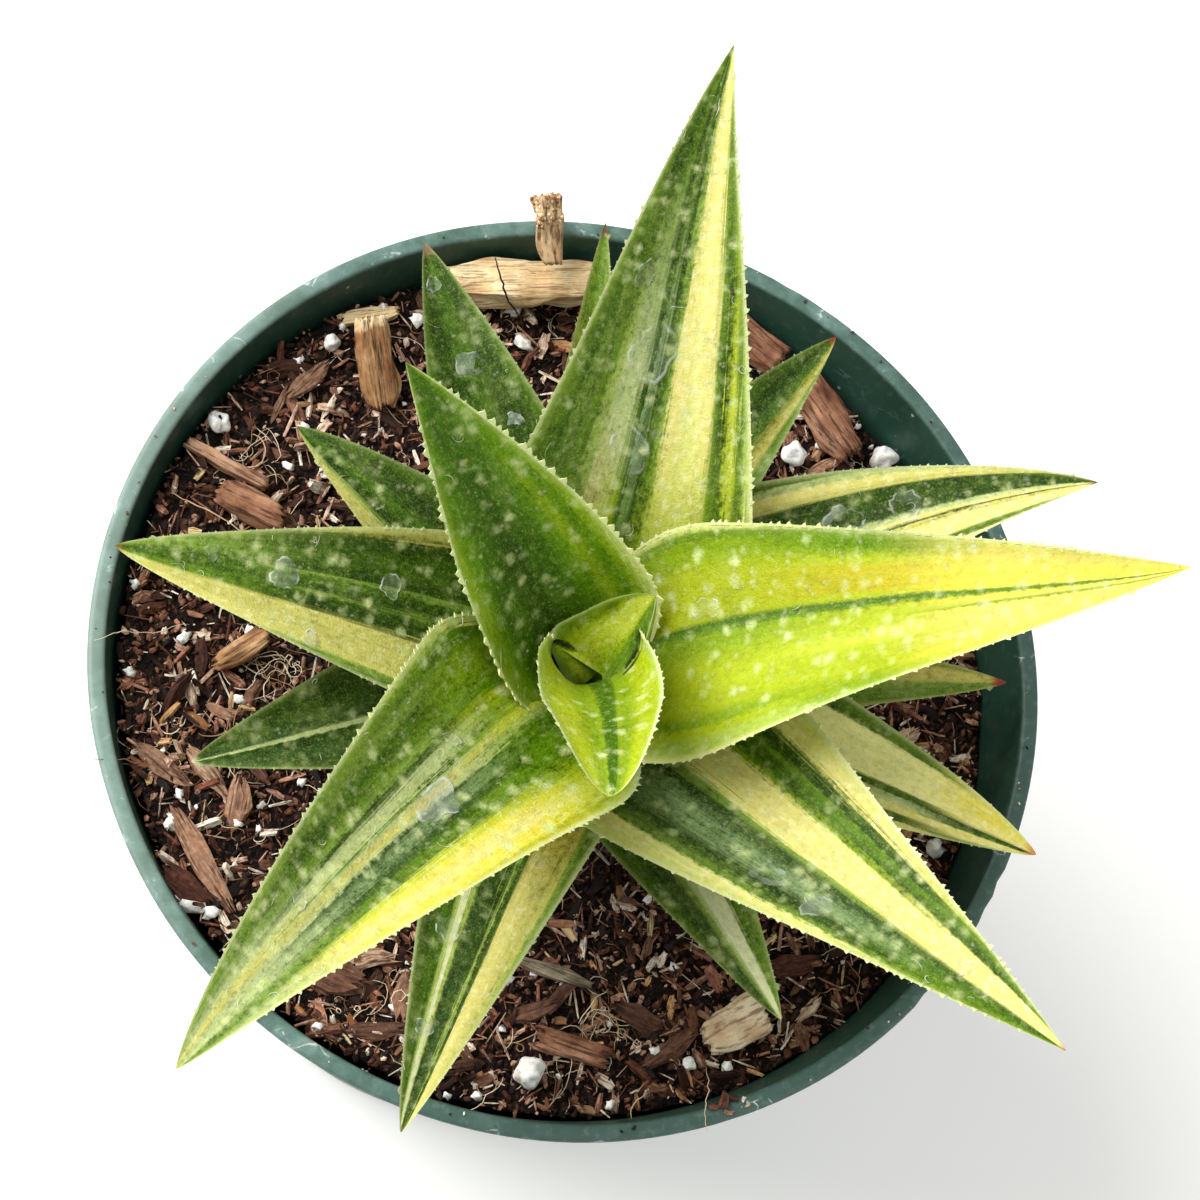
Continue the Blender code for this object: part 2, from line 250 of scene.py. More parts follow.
bpy.ops.object.camera_add()
mainCamera = bpy.context.object
mainCamera.name = "mainCamera"
mainCamera.data.lens = studio["lens"]
mainCamera.data.sensor_width = 36
mainCamera.data.clip_start = 0.01
mainCamera.matrix_world = lookMatrix(studio["cameraPlace"], studio["cameraLooks"], (0, 1, 0))
bpy.context.scene.camera = mainCamera
softLight("keyLight", studio["keyPlace"], studio["keySize"], studio["keyPower"], (1.0, 0.99, 0.965))
softLight("fillLight", studio["fillPlace"], studio["fillSize"], studio["fillPower"], (1.0, 1.0, 0.98))
studioWorld = bpy.data.worlds.new("studioWorld")
bpy.context.scene.world = studioWorld
studioWorld.use_nodes = True
skyNode = studioWorld.node_tree.nodes["Background"]
skyNode.inputs["Color"].default_value = (1.0, 1.0, 0.985, 1)
skyNode.inputs["Strength"].default_value = studio["sky"]
bpy.context.scene.view_settings.view_transform = "Standard"

bpy.ops.mesh.primitive_plane_add(size=studio["floorSize"])
floor = bpy.context.object
floor.name = "floor"
floorPaint, _, floorShader = newFinish("floorPaint", 0.85, 0.2)
floorShader.inputs["Base Color"].default_value = hexColour("#f4f4f2")
floorShader.inputs["Emission Color"].default_value = (1, 1, 1, 1)
floorShader.inputs["Emission Strength"].default_value = 0.20
floor.data.materials.append(floorPaint)
print("studio ready")


# the pot: rings drawn out one after another from under its foot, up the outside and down the inside

pot = {
    "sides": 192,
    "height": 90.0,
    "rim": 54.0,
    "lip": 2.0,
    "wall": 1.1,
    "floor": 3.0,
    "foot": 38.0,
    "collarFoot": 83.0,
    "bodyLow": 3,
    "bodyHigh": 82.2,
    "bodyFoot": 38.6,
    "bodySteps": 14,
    "holes": 8,
    "holeRadius": 2.5,
    "holeCircle": 24.0,
    "nicks": 9,
    "wornHeight": 80,
    "wornRadius": 50,
    "nickHeight": 86,
    "nickRadius": 53.4,
    "liftHeight": 88,
}


def potInside(z):
    top = pot["rim"] - pot["lip"]
    foot = pot["foot"] - pot["wall"]
    return foot + (top - foot) * (z - pot["floor"]) / (pot["height"] - pot["floor"])


def potProfile():
    # radius and height, in millimetres, from the middle of the foot outside to the middle of the floor inside
    low, high, foot = pot["bodyLow"], pot["bodyHigh"], pot["bodyFoot"]
    bodyTop = potInside(pot["collarFoot"]) + pot["wall"]
    outside = [
        (12.0, 0.25), (12.2, 0.6), (12.5, 1.5), (23, 1.5), (34.5, 1.5), (34.9, 0.4), (35.2, 0.05),
        (36.3, 0), (37.5, 0.05), (37.9, 0.35), (38.1, 0.9), (foot, low),
    ]
    for i in range(1, pot["bodySteps"] + 1):
        z = low + (high - low) * i / pot["bodySteps"]
        outside.append((foot + (bodyTop - foot) * (z - low) / (82.6 - low), z))
    outside += [
        (bodyTop + 0.02, 82.6), (bodyTop + 0.12, 82.9), (bodyTop + 0.3, 83.0), (52.3, 83.0), (52.62, 83.08),
        (52.78, 83.3), (52.95, 84.2), (53.3, 86), (53.66, 88), (53.93, 89.3), (53.96, 89.62),
        (53.86, 89.85), (53.62, 89.97), (53.3, 90.0), (52.9, 89.98), (52.5, 89.96), (52.22, 89.9),
        (52.03, 89.72), (51.97, 89.4),
    ]
    inside = []
    for i in range(19):
        z = 88.6 - (88.6 - 5.0) * i / 18
        inside.append((potInside(z), z))
    inside += [(36.7, 3.9), (36.2, 3.3), (35.4, 3.02), (30, 3), (23, 3), (16, 3), (8, 3)]
    return outside + inside


def buildPot():
    profile = potProfile()
    bpy.ops.mesh.primitive_circle_add(
        vertices=pot["sides"], radius=profile[0][0] * mm, location=(0, 0, profile[0][1] * mm),
    )
    made = bpy.context.object
    made.name = "nurseryPot"
    bpy.ops.object.transform_apply(location=True)
    rings = np.array(profile) * mm
    bpy.ops.object.mode_set(mode="EDIT")
    bpy.ops.mesh.select_mode(type="EDGE")
    bpy.ops.mesh.select_all(action="SELECT")
    for i in range(1, len(rings)):
        ratio = rings[i][0] / rings[i - 1][0]
        bpy.ops.mesh.extrude_edges_move(
            TRANSFORM_OT_translate={"value": (0, 0, rings[i][1] - rings[i - 1][1])}
        )
        bpy.ops.transform.resize(value=(ratio, ratio, 1), center_override=(0, 0, rings[i][1]))
    # closes the last ring, then the first one
    for _ in range(2):
        bpy.ops.mesh.edge_face_add()
        bpy.ops.mesh.poke()
        bpy.ops.mesh.select_all(action="DESELECT")
        bpy.ops.mesh.select_non_manifold()
    bpy.ops.mesh.select_all(action="SELECT")
    bpy.ops.mesh.normals_make_consistent(inside=False)
    bpy.ops.object.mode_set(mode="OBJECT")
    return made


def cutDrainHoles(shell):
    cutters = []
    for i in range(pot["holes"]):
        turn = math.tau * (i + 0.5) / pot["holes"]
        place = (pot["holeCircle"] * mm * math.cos(turn), pot["holeCircle"] * mm * math.sin(turn), 2 * mm)
        bpy.ops.mesh.primitive_cylinder_add(
            vertices=28, radius=pot["holeRadius"] * mm, depth=8 * mm, location=place,
        )
        cutters.append(bpy.context.object)
    for cutter in cutters:
        cutter.select_set(True)
    bpy.ops.object.join()
    cutter = bpy.context.object
    cut = shell.modifiers.new("drainHoles", "BOOLEAN")
    cut.object = cutter
    cut.operation = "DIFFERENCE"
    cut.solver = "EXACT"
    makeActive(shell)
    bpy.ops.object.modifier_apply(modifier=cut.name)
    bpy.data.objects.remove(cutter)


def wearRim(shell):
    # a hand-moulded lip is never quite true, and its outer edge has small nicks
    rng = random.Random(4)
    nicks = [
        (rng.uniform(0, math.tau), rng.uniform(0.3, 0.9), rng.uniform(0.12, 0.3))
        for _ in range(pot["nicks"])
    ]
    for vert in shell.data.vertices:
        x, y, z = (c / mm for c in vert.co)
        radius = math.hypot(x, y)
        if z < pot["wornHeight"] or radius < pot["wornRadius"]:
            continue
        angle = math.atan2(y, x)
        wave = 0.10 * noiseAt(*onCircle(2.1, angle), 5)
        lift = 0.10 * noiseAt(*onCircle(3.0, angle), 9)
        if radius > pot["nickRadius"] and z > pot["nickHeight"]:
            for place, width, depth in nicks:
                away = abs((angle - place + math.pi) % math.tau - math.pi) * pot["rim"]
                wave -= depth * math.exp(-(away / width) ** 2)
        share = (radius + wave * min((z - pot["wornHeight"]) / 6, 1)) / radius
        vert.co.x *= share
        vert.co.y *= share
        if z > pot["liftHeight"]:
            vert.co.z += lift * mm * (z - pot["liftHeight"]) / 2


def potPlastic():
    made, tree, shader = newFinish("potPlastic", 0.42, 0.42)
    place = objectPlace(tree)
    split = addNode(tree, "ShaderNodeSeparateXYZ", None, {0: place})
    onLip = smoothStep(tree, split.outputs["Z"], 0.0893, 0.08985)
    cloudy = noiseOf(tree, place, 60, 4.0, 0.6)
    fine = noiseOf(tree, place, 900, 4.0, 0.65)
    patchy = noiseOf(tree, place, 190, 5.0, 0.7)
    body = colourRamp(tree, cloudy, "25 #1c3a32, 50 #25473c, 75 #2f5448")
    # the lip's top is painted paler than the body: partly dust, partly a painted reflection of the bright sky
    lip = colourRamp(tree, patchy, "25 #3c564e, 45 #4d695f, 60 #63807a, 80 #93a8a0")
    # painted light and shade: the lip is painted paler on its left and back, towards the lamp, and darker on
    # its right and front
    lipLitSide = timesPlus(tree, split.outputs["X"], -7.0, split.outputs["Y"])
    lipFrontShade = times(tree, split.outputs["Y"], -7.0)
    lipShadedSide = timesPlus(tree, split.outputs["X"], 9.0, lipFrontShade)
    lip = tint(tree, lip, smoothStep(tree, lipLitSide, 0.2, 0.36, 0.0, 0.3), "#a3b6ad")
    lip = tint(tree, lip, smoothStep(tree, lipShadedSide, -0.1, 0.42, 0.0, 0.8), "#34504a")
    colour = blendColour(tree, onLip, body, lip)
    cells = raggedCells(tree, place, 260.0, 2.0, (0.004,) * 3, 210.0, "DISTANCE_TO_EDGE")
    hairline = smoothStep(tree, cells.outputs["Distance"], 0.012, 0.03, 1.0, 0.0)
    where = smoothStep(tree, patchy, 0.56, 0.66)
    scratch = times(tree, hairline, where)
    scratch = times(tree, scratch, timesPlus(tree, onLip, 0.75, 0.12))
    colour = tint(tree, colour, scratch, "#c3cfc8")
    dots = addNode(tree, "ShaderNodeTexVoronoi", None, {"Vector": place, "Scale": 420.0})
    chance = firstOf(tree, dots.outputs["Color"])
    speck = smoothStep(tree, dots.outputs["Distance"], 0.06, 0.12, 1.0, 0.0)
    speck = times(tree, speck, calc(tree, "GREATER_THAN", chance, 0.86))
    colour = tint(tree, colour, times(tree, speck, 0.75), "#b9c4bb")
    dust = smoothStep(tree, fine, 0.50, 0.72, 0.0, 0.30)
    dust = times(tree, dust, timesPlus(tree, onLip, 0.6, 0.4))
    colour = tint(tree, colour, dust, "#7d9388")
    tree.links.new(colour, shader.inputs["Base Color"])
    rough = timesPlus(tree, patchy, 0.28, 0.30)
    tree.links.new(rough, shader.inputs["Roughness"])
    addBump(tree, shader, timesPlus(tree, fine, 0.6, scratch), 0.25, 0.0002)
    return made


potShell = buildPot()
cutDrainHoles(potShell)
wearRim(potShell)
potShell.data.materials.append(potPlastic())
makeActive(potShell)
bpy.ops.object.shade_smooth_by_angle(angle=math.radians(42))
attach(potShell, "root")
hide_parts("pot")
print("pot ready", len(potShell.data.polygons))


# the mix: a closed body with a crumbly top

mix = {
    "level": 82.0,
    "slope": -0.05,
    "dip": 1.8,
    "dipRadius": 14.0,
    "bump": 0.7,
    "bumpSize": 9.0,
    "foot": (-1.0, 3.5),
    "edge": 50.0,
    "around": 220,
    "across": 84,
    "crumble": 0.55,
    "crumbs": 7500,
    "grit": 3600,
    "chunks": 190,
    "flakes": 1400,
    "splinters": 3600,
    "paleBits": 200,
    "whiteGrains": 230,
    "hairs": 580,
    "bank": 1.4,
    "reach": 51.0,
    "stemGap": 5.5,
    "bottom": 3.3,
    "hairReach": 48.5,
    "hairLimit": 49,
    "hairSteps": 9,
    "tangle": 2.2,
}


def mixHeight(x, y):
    away = math.hypot(x - mix["foot"][0], y - mix["foot"][1])
    dip = mix["dip"] * math.exp(-((away / mix["dipRadius"]) ** 2))
    bump = mix["bump"] * noise.noise(Vector((x, y, 0)) / mix["bumpSize"])
    return mix["level"] + mix["slope"] * x - dip + bump


def crumbleAt(x, y):
    coarse = noise.noise(Vector((x, y, 3.0)) / 2.6)
    fine = noise.noise(Vector((x, y, 8.0)) / 0.9)
    # the mix is banked against the wall on one side
    bank = mix["bank"] * within((math.hypot(x, y) - 40) / 10, 0, 1) * within(-x / 40, 0, 1)
    return mix["crumble"] * (coarse + 0.5 * fine) + bank


def mixTop(x, y):
    return mixHeight(x, y) + crumbleAt(x, y)


def buildMix(finish):
    points = []
    faces = []
    around = mix["around"]
    rings = mix["across"]
    # below its top the body follows the pot's inside, then closes over the floor
    sides = [(potInside(z) - 0.5, z) for z in (72, 40, 6)] + [(33.5, mix["bottom"]), (16, mix["bottom"])]
    for i in range(1, rings + 1):
        radius = mix["edge"] * i / rings
        for j in range(around):
            turn = math.tau * j / around
            x, y = onCircle(radius, turn)
            points.append((x, y, mixTop(x, y)))
    for radius, z in sides:
        for j in range(around):
            turn = math.tau * j / around
            points.append((*onCircle(radius, turn), z))
    rows = rings + len(sides)
    for i in range(rows - 1):
        for j in range(around):
            a = i * around + j
            b = i * around + (j + 1) % around
            faces.append((a, a + around, b + around, b))
    top = len(points)
    points.append((0, 0, mixHeight(0, 0)))
    bottom = len(points)
    points.append((0, 0, mix["bottom"]))
    last = (rows - 1) * around
    for j in range(around):
        faces.append((top, j, (j + 1) % around))
        faces.append((bottom, last + (j + 1) % around, last + j))
    return meshObject("mixBody", points, faces, finish)


def mixEarth():
    made, tree, shader = newFinish("mixEarth", 0.9, 0.25)
    place = objectPlace(tree)
    coarse = noiseOf(tree, place, 420, 5.0, 0.7)
    fine = noiseOf(tree, place, 1900, 4.0, 0.7)
    cells = raggedCells(tree, place, 1500.0, 3.0, (0.0008,) * 3, 1300.0)
    chance = firstOf(tree, cells.outputs["Color"])
    tone = timesPlus(tree, chance, 0.55, timesPlus(tree, coarse, 0.6, -0.12))
    # a very dark ground, partly the mix's own colour and partly painted shade of deep gaps; the cell borders
    # are painted darker still, painted shade between the crumbs
    colour = colourRamp(tree, tone, "20 #070302, 42 #1c0d08, 60 #3c2216, 80 #74503a")
    gap = smoothStep(tree, cells.outputs["Distance"], 0.25, 0.6, 0.0, 0.85)
    colour = tint(tree, colour, gap, "#060302")
    colour = tint(tree, colour, smoothStep(tree, fine, 0.52, 0.8, 0.0, 0.5), "#7a563e")
    tree.links.new(colour, shader.inputs["Base Color"])
    lumps = timesPlus(tree, cells.outputs["Distance"], -1.4, plus(tree, coarse, fine))
    addBump(tree, shader, lumps, 0.9, 0.0006)
    return made


def barkFinish(name, stops, roughness, specular, grain, fleck="#120a07"):
    # tone is one value for each bit, and grain is a point's place along and across the bit's own fibres
    made, tree, shader = newFinish(name, roughness, specular)
    tone = pointValue(tree, "tone")
    along = addNode(tree, "ShaderNodeAttribute", {"attribute_name": "grain"}).outputs["Vector"]
    fibre = noiseOf(tree, along, grain, 4.0, 0.65)
    mottle = noiseOf(tree, along, (1.3, 1.6, 1.6), 3.0, 0.6)
    mixed = swing(tree, mottle, 0.55, tone)
    colour = colourRamp(tree, mixed, stops)
    # each bit leans towards grey weathered wood or towards red bark
    lean = addNode(tree, "ShaderNodeTexWhiteNoise", {"noise_dimensions": "1D"}, {"W": tone}).outputs["Value"]
    colour = tint(tree, colour, smoothStep(tree, lean, 0.55, 0.95, 0.0, 0.55), "#8f8474", "SOFT_LIGHT")
    colour = tint(tree, colour, smoothStep(tree, lean, 0.0, 0.35, 0.5, 0.0), "#a8653c", "OVERLAY")
    dark = smoothStep(tree, fibre, 0.36, 0.52, 0.8, 0.0)
    colour = tint(tree, colour, dark, fleck)
    light = smoothStep(tree, fibre, 0.54, 0.72, 0.0, 0.55)
    colour = tint(tree, colour, light, "#dcbfa0", "OVERLAY")
    # painted shade: the bits are painted darker round the stem, where the leaves shade the mix
    flat = vectorCalc(tree, "MULTIPLY", objectPlace(tree), (1, 1, 0))[0]
    away = vectorCalc(tree, "LENGTH", flat)["Value"]
    colour = tint(tree, colour, smoothStep(tree, away, 0.016, 0.038, 0.55, 0.0), "#0e0604")
    tree.links.new(colour, shader.inputs["Base Color"])
    addBump(tree, shader, fibre, 0.6, 0.0003)
    return made


def knobblyBall(seed, subdivisions, squash, rough):
    bpy.ops.mesh.primitive_ico_sphere_add(subdivisions=subdivisions, radius=0.5 * mm)
    points, faces = takeMesh(bpy.context.object)
    shaped = []
    for p in points:
        push = 1 + rough * noise.noise(Vector(p) * 2.7 + Vector((seed * 3.1, 0, 0)))
        shaped.append((p[0] * push, p[1] * push * squash[0], p[2] * push * squash[1]))
    return np.array(shaped), faces


def cutBlock(cuts):
    bpy.ops.mesh.primitive_cube_add(size=1 * mm)
    made = bpy.context.object
    bpy.ops.object.mode_set(mode="EDIT")
    bpy.ops.mesh.select_all(action="SELECT")
    bpy.ops.mesh.subdivide(number_cuts=cuts)
    bpy.ops.object.mode_set(mode="OBJECT")
    return takeMesh(made)


def splitFlake(seed, cuts, ragged):
    # a block with ragged ends, a bowed back and grooves along its grain
    points, faces = cutBlock(cuts)
    rng = random.Random(seed)
    bow = rng.uniform(-0.25, 0.25)
    narrow = rng.uniform(0.15, 0.5)
    shaped = []
    for x, y, z in points:
        across = noiseAt(x * 0.8, y * 4.5, z * 3 + seed)
        end = noiseAt(y * 5, z * 4, seed + (4 if x > 0 else 0))
        wide = y * (1 - narrow * abs(x + 0.1) - ragged * (2 * abs(x)) ** 3 * 0.55) * (1 + 0.12 * across)
        wide += ragged * 0.3 * noiseAt(x * 2.2, seed * 1.7, 0)
        tall = z * (1 - 0.35 * abs(y) * 2) * (1 - 0.3 * abs(x)) + 0.14 * across
        far = x * (1 + ragged * end)
        shaped.append((far, wide + bow * (x * x - 0.1), tall))
    return np.array(shaped), faces


def thinSplinter(seed):
    bpy.ops.mesh.primitive_cylinder_add(vertices=5, radius=0.5 * mm, depth=1 * mm, end_fill_type="TRIFAN")
    made = bpy.context.object
    bpy.ops.object.mode_set(mode="EDIT")
    bpy.ops.mesh.select_all(action="SELECT")
    bpy.ops.mesh.bisect(plane_co=(0, 0, 0.12 * mm), plane_no=(0, 0, 1))
    bpy.ops.object.mode_set(mode="OBJECT")
    points, faces = takeMesh(made)
    shaped = []
    for x, y, z in points:
        taper = 1 - 0.75 * abs(z) * (1.3 if z > 0 else 0.8)
        push = 0.25 * noiseAt(x * 3, y * 3, z * 3 + seed)
        shaped.append((z, x * taper + push * 0.6, y * taper * 0.7 + 0.3 * push))
    return np.array(shaped), faces


def turnMatrix(yaw, pitch, roll):
    return np.array(
        Matrix.Rotation(yaw, 3, "Z") @ Matrix.Rotation(pitch, 3, "Y") @ Matrix.Rotation(roll, 3, "X")
    )


def copiesOf(name, shapes, places, finish, smooth=False):
    # places: which shape, its place, turn matrix, size and tone. Every copy gets its own points
    parts = []
    grains = []
    for which, place, turn, size, tone in places:
        points, faces = shapes[which]
        sized = points * np.array(size)
        parts.append((sized @ turn.T + np.array(place), faces))
        grains.append(sized + np.array((61.0, 37.0, 83.0)) * tone)
    return joinParts(
        name, parts, finish, [place[4] for place in places], smooth, {"grain": np.concatenate(grains)},
    )


def spotOnMix(rng, reach):
    radius = math.sqrt(rng.random()) * reach
    return radius, *onCircle(radius, rng.uniform(0, math.tau))


def toneNear(middle, spread, least=0.02):
    return lambda rng: within(rng.gauss(middle, spread), least, 1.0)


def scatterPlaces(count, rng, shapes, longRange, wideShare, tallShare, tilt, sink, tones):
    places = []
    while len(places) < count:
        radius, x, y = spotOnMix(rng, mix["reach"])
        if math.hypot(x - mix["foot"][0], y - mix["foot"][1]) < mix["stemGap"]:
            continue
        long = rng.uniform(*longRange) * (0.6 + 0.4 * rng.random())
        if radius + long * 0.35 > potInside(mixHeight(x, y)):
            continue
        size = (long, long * rng.uniform(*wideShare), long * rng.uniform(*tallShare))
        z = mixTop(x, y) + size[2] * (0.5 - sink)
        spin = turnMatrix(rng.uniform(0, math.tau), rng.gauss(0, tilt), rng.gauss(0, tilt * 1.3))
        places.append((rng.randrange(len(shapes)), (x, y, z), spin, size, tones(rng)))
    return places


def hairLine(rng, x, y, long, radius, climb, curl):
    # a curled hair: a tube round a wandering line
    steps = mix["hairSteps"]
    heading = rng.uniform(0, math.tau)
    place = np.array((x, y, mixHeight(x, y) + 0.9))
    turnRate = rng.gauss(0, curl)
    pitch = rng.uniform(0, climb)
    centres = []
    for _ in range(steps):
        centres.append(place.copy())
        heading += turnRate + rng.gauss(0, 0.28)
        pitch -= climb * 2.0 / steps
        place = place + np.array((
            math.cos(heading) * math.cos(pitch), math.sin(heading) * math.cos(pitch), math.sin(pitch),
        )) * long / steps
        place[2] = max(place[2], mixHeight(place[0], place[1]) + 0.6)
    return tubeRound(centres, radius)


def tubeRound(centres, radius, sides=5, ends=0.35):
    centres = np.array(centres)
    points = []
    faces = []
    count = len(centres)
    for i, centre in enumerate(centres):
        before = centres[max(i - 1, 0)]
        after = centres[min(i + 1, count - 1)]
        along = Vector(after - before).normalized()
        side = along.cross(Vector((0.13, 0.07, 1))).normalized()
        up = side.cross(along)
        share = i / (count - 1)
        thick = radius * (ends + (1 - ends) * math.sin(math.pi * (0.08 + 0.84 * share)))
        for j in range(sides):
            a = math.tau * j / sides
            points.append(tuple(Vector(centre) + side * (thick * math.cos(a)) + up * (thick * math.sin(a))))
    for i in range(count - 1):
        for j in range(sides):
            a = i * sides + j
            b = i * sides + (j + 1) % sides
            faces.append((a, b, b + sides, a + sides))
    faces.append(tuple(reversed(range(sides))))
    faces.append(tuple(range((count - 1) * sides, count * sides)))
    return np.array(points), faces


def joinFaces(parts):
    faces = []
    start = 0
    for part in parts:
        faces += [tuple(v + start for v in face) for face in part[1]]
        start += len(part[0])
    return faces


def joinParts(name, parts, finish, tones, smooth=True, vectors=None):
    tone = np.concatenate([np.full(len(part[0]), value) for part, value in zip(parts, tones)])
    points = np.concatenate([part[0] for part in parts])
    return meshObject(name, points, joinFaces(parts), finish, smooth, {"tone": tone}, vectors)


barkTones = "0 #120604, 20 #2c140d, 38 #54301f, 54 #83563f, 70 #b58a74, 86 #dfc4ac, 100 #fbf0e2"
chunkTones = "0 #1c0e09, 30 #452b20, 50 #735140, 70 #a68269, 85 #cfb296, 100 #f0e2cd"
paleTones = "0 #7c5637, 30 #a87e55, 60 #cfae7f, 85 #e6cf9f, 100 #f0e0b8"
barkBits = barkFinish("barkBits", barkTones, 0.78, 0.35, (0.7, 5, 5))
chunkBits = barkFinish("chunkBits", chunkTones, 0.8, 0.3, (0.22, 3.6, 3.6), "#33190f")
paleBits = barkFinish("paleBits", paleTones, 0.8, 0.3, (0.5, 6, 6), "#6a4326")

mixBody = buildMix(mixEarth())
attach(mixBody, "root")
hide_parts("potting_mix")

rng = random.Random(21)
crumbShapes = [knobblyBall(i, 1, (0.8, 0.62), 0.75) for i in range(7)]
crumbPlaces = scatterPlaces(
    mix["crumbs"], rng, crumbShapes, (0.5, 1.8), (0.5, 1.0), (0.45, 0.8), 0.5, 0.25,
    toneNear(0.38, 0.25, 0.0),
)
crumbs = copiesOf("barkCrumbs", crumbShapes, crumbPlaces, barkBits)
gritPlaces = scatterPlaces(
    mix["grit"], rng, crumbShapes, (0.35, 1.0), (0.5, 1.0), (0.5, 0.9), 0.5, 0.1, toneNear(0.42, 0.28, 0.0),
)
grit = copiesOf("mixGrit", crumbShapes, gritPlaces, barkBits)
flakeShapes = [splitFlake(i, 2 if i < 4 else 1, 0.35) for i in range(8)]
flakePlaces = scatterPlaces(
    mix["flakes"], rng, flakeShapes, (1.2, 4.2), (0.2, 0.5), (0.12, 0.3), 0.5, 0.0, toneNear(0.50, 0.31),
)
flakes = copiesOf("barkFlakes", flakeShapes, flakePlaces, barkBits)
chunkShapes = [splitFlake(20 + i, 5, 0.75) for i in range(9)]
chunkPlaces = scatterPlaces(
    mix["chunks"], rng, chunkShapes, (2.4, 5.6), (0.2, 0.5), (0.14, 0.3), 0.35, 0.0,
    toneNear(0.46, 0.22, 0.1),
)
# chunks laid one by one: x, y, length, width, height, turn and tone
for x, y, long, wide, tall, turn, tone in (
    (-40.6, -23.4, 10.5, 2.6, 2.2, -57, 0.66), (-42.0, -27.0, 5.2, 2.8, 2.2, -40, 0.35),
    (-45.3, -13.2, 5.6, 2.4, 2.0, -36, 0.62), (-36.8, -17.0, 4.6, 3.0, 2.4, 82, 0.66),
    (-40.2, -13.4, 5.8, 2.0, 1.6, -48, 0.75), (-26.6, -35.0, 7.6, 4.4, 2.6, -22, 0.45),
    (-32.0, -30.2, 5.6, 1.6, 1.4, 20, 0.7), (-22.0, -33.6, 5.0, 2.0, 1.6, 5, 0.75),
    (-17.6, -37.6, 4.4, 3.0, 2.0, 76, 0.6), (-21.0, -41.6, 5.2, 2.0, 1.4, 4, 0.4),
    (-40.8, 8.6, 4.6, 1.8, 1.5, 60, 0.6), (-31.4, 11.4, 4.4, 1.6, 1.4, 30, 0.5),
    (12.0, -42.4, 5.6, 2.2, 1.6, 34, 0.5), (8.6, -39.0, 4.6, 2.6, 1.8, -20, 0.38),
    (26.4, -32.4, 5.2, 2.4, 1.8, 12, 0.35), (-12.6, -42.6, 5.2, 1.8, 1.4, -38, 0.5),
    (-3.6, -38.8, 4.8, 2.0, 1.6, 18, 0.42), (-30.6, 33.6, 5.4, 2.2, 1.7, 48, 0.6),
    (39.5, -5.5, 5.0, 2.4, 1.8, 32, 0.85),
):
    place = (x, y, mixTop(x, y) + tall * 0.35)
    spin = turnMatrix(math.radians(turn), rng.gauss(0, 0.12), rng.gauss(0, 0.2))
    chunkPlaces.append((rng.randrange(len(chunkShapes)), place, spin, (long, wide, tall), tone))
chunks = copiesOf("barkChunks", chunkShapes, chunkPlaces, chunkBits)
splinterShapes = [thinSplinter(i) for i in range(6)]
splinterPlaces = scatterPlaces(
    mix["splinters"], rng, splinterShapes, (1.0, 4.6), (0.05, 0.17), (0.05, 0.14), 0.45, -0.8,
    toneNear(0.64, 0.30),
)
splinters = copiesOf("barkSplinters", splinterShapes, splinterPlaces, barkBits)
palePlaces = scatterPlaces(
    mix["paleBits"], rng, flakeShapes, (1.1, 3.4), (0.25, 0.6), (0.12, 0.3), 0.4, -0.1,
    lambda r: r.uniform(0.1, 0.9),
)
paleFlakes = copiesOf("woodFlakes", flakeShapes, palePlaces, paleBits)
# a crumb of bark and specks of dirt on the lip: x, y, size and tone
lipBits = [
    (16.2, -49.3, 2.0, 0.40), (15.1, -49.9, 1.3, 0.52), (17.4, -48.9, 1.4, 0.3), (16.8, -50.4, 1.1, 0.6),
    (18.6, -48.9, 0.8, 1.1), (19.0, -49.6, 0.6, 0.8), (6.5, -52.3, 0.7, 0.15), (5.2, -52.7, 0.5, 0.1),
]
for i in range(46):
    turn = rng.uniform(0, math.tau)
    radius = rng.uniform(52.2, 53.6)
    lipBits.append((*onCircle(radius, turn), rng.uniform(0.15, 0.5), rng.uniform(0, 1.1)))
lipPlaces = []
for x, y, size, tone in lipBits:
    which = rng.randrange(len(crumbShapes))
    spin = turnMatrix(rng.uniform(0, 6), 0, 0)
    place = (x, y, pot["height"] + size * 0.25)
    lipPlaces.append((which, place, spin, (size, size * 0.8, size * 0.8), tone))
lipCrumbs = copiesOf("lipCrumbs", crumbShapes, lipPlaces, barkBits)
for piece in (crumbs, grit, chunks, flakes, splinters, paleFlakes, lipCrumbs):
    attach(piece, "root")
print("mix ready", len(crumbs.data.polygons) + len(flakes.data.polygons) + len(splinters.data.polygons))


# root hairs and fibres

def hairFinish():
    made, tree, shader = newFinish("rootHair", 0.6, 0.3)
    tone = pointValue(tree, "tone")
    place = objectPlace(tree)
    patchy = noiseOf(tree, place, 700, 3.0)
    mixed = swing(tree, patchy, 0.4, tone)
    colour = colourRamp(tree, mixed, "0 #24120b, 40 #7a5235, 70 #bb946a, 100 #e9dcc0")
    tree.links.new(colour, shader.inputs["Base Color"])
    return made


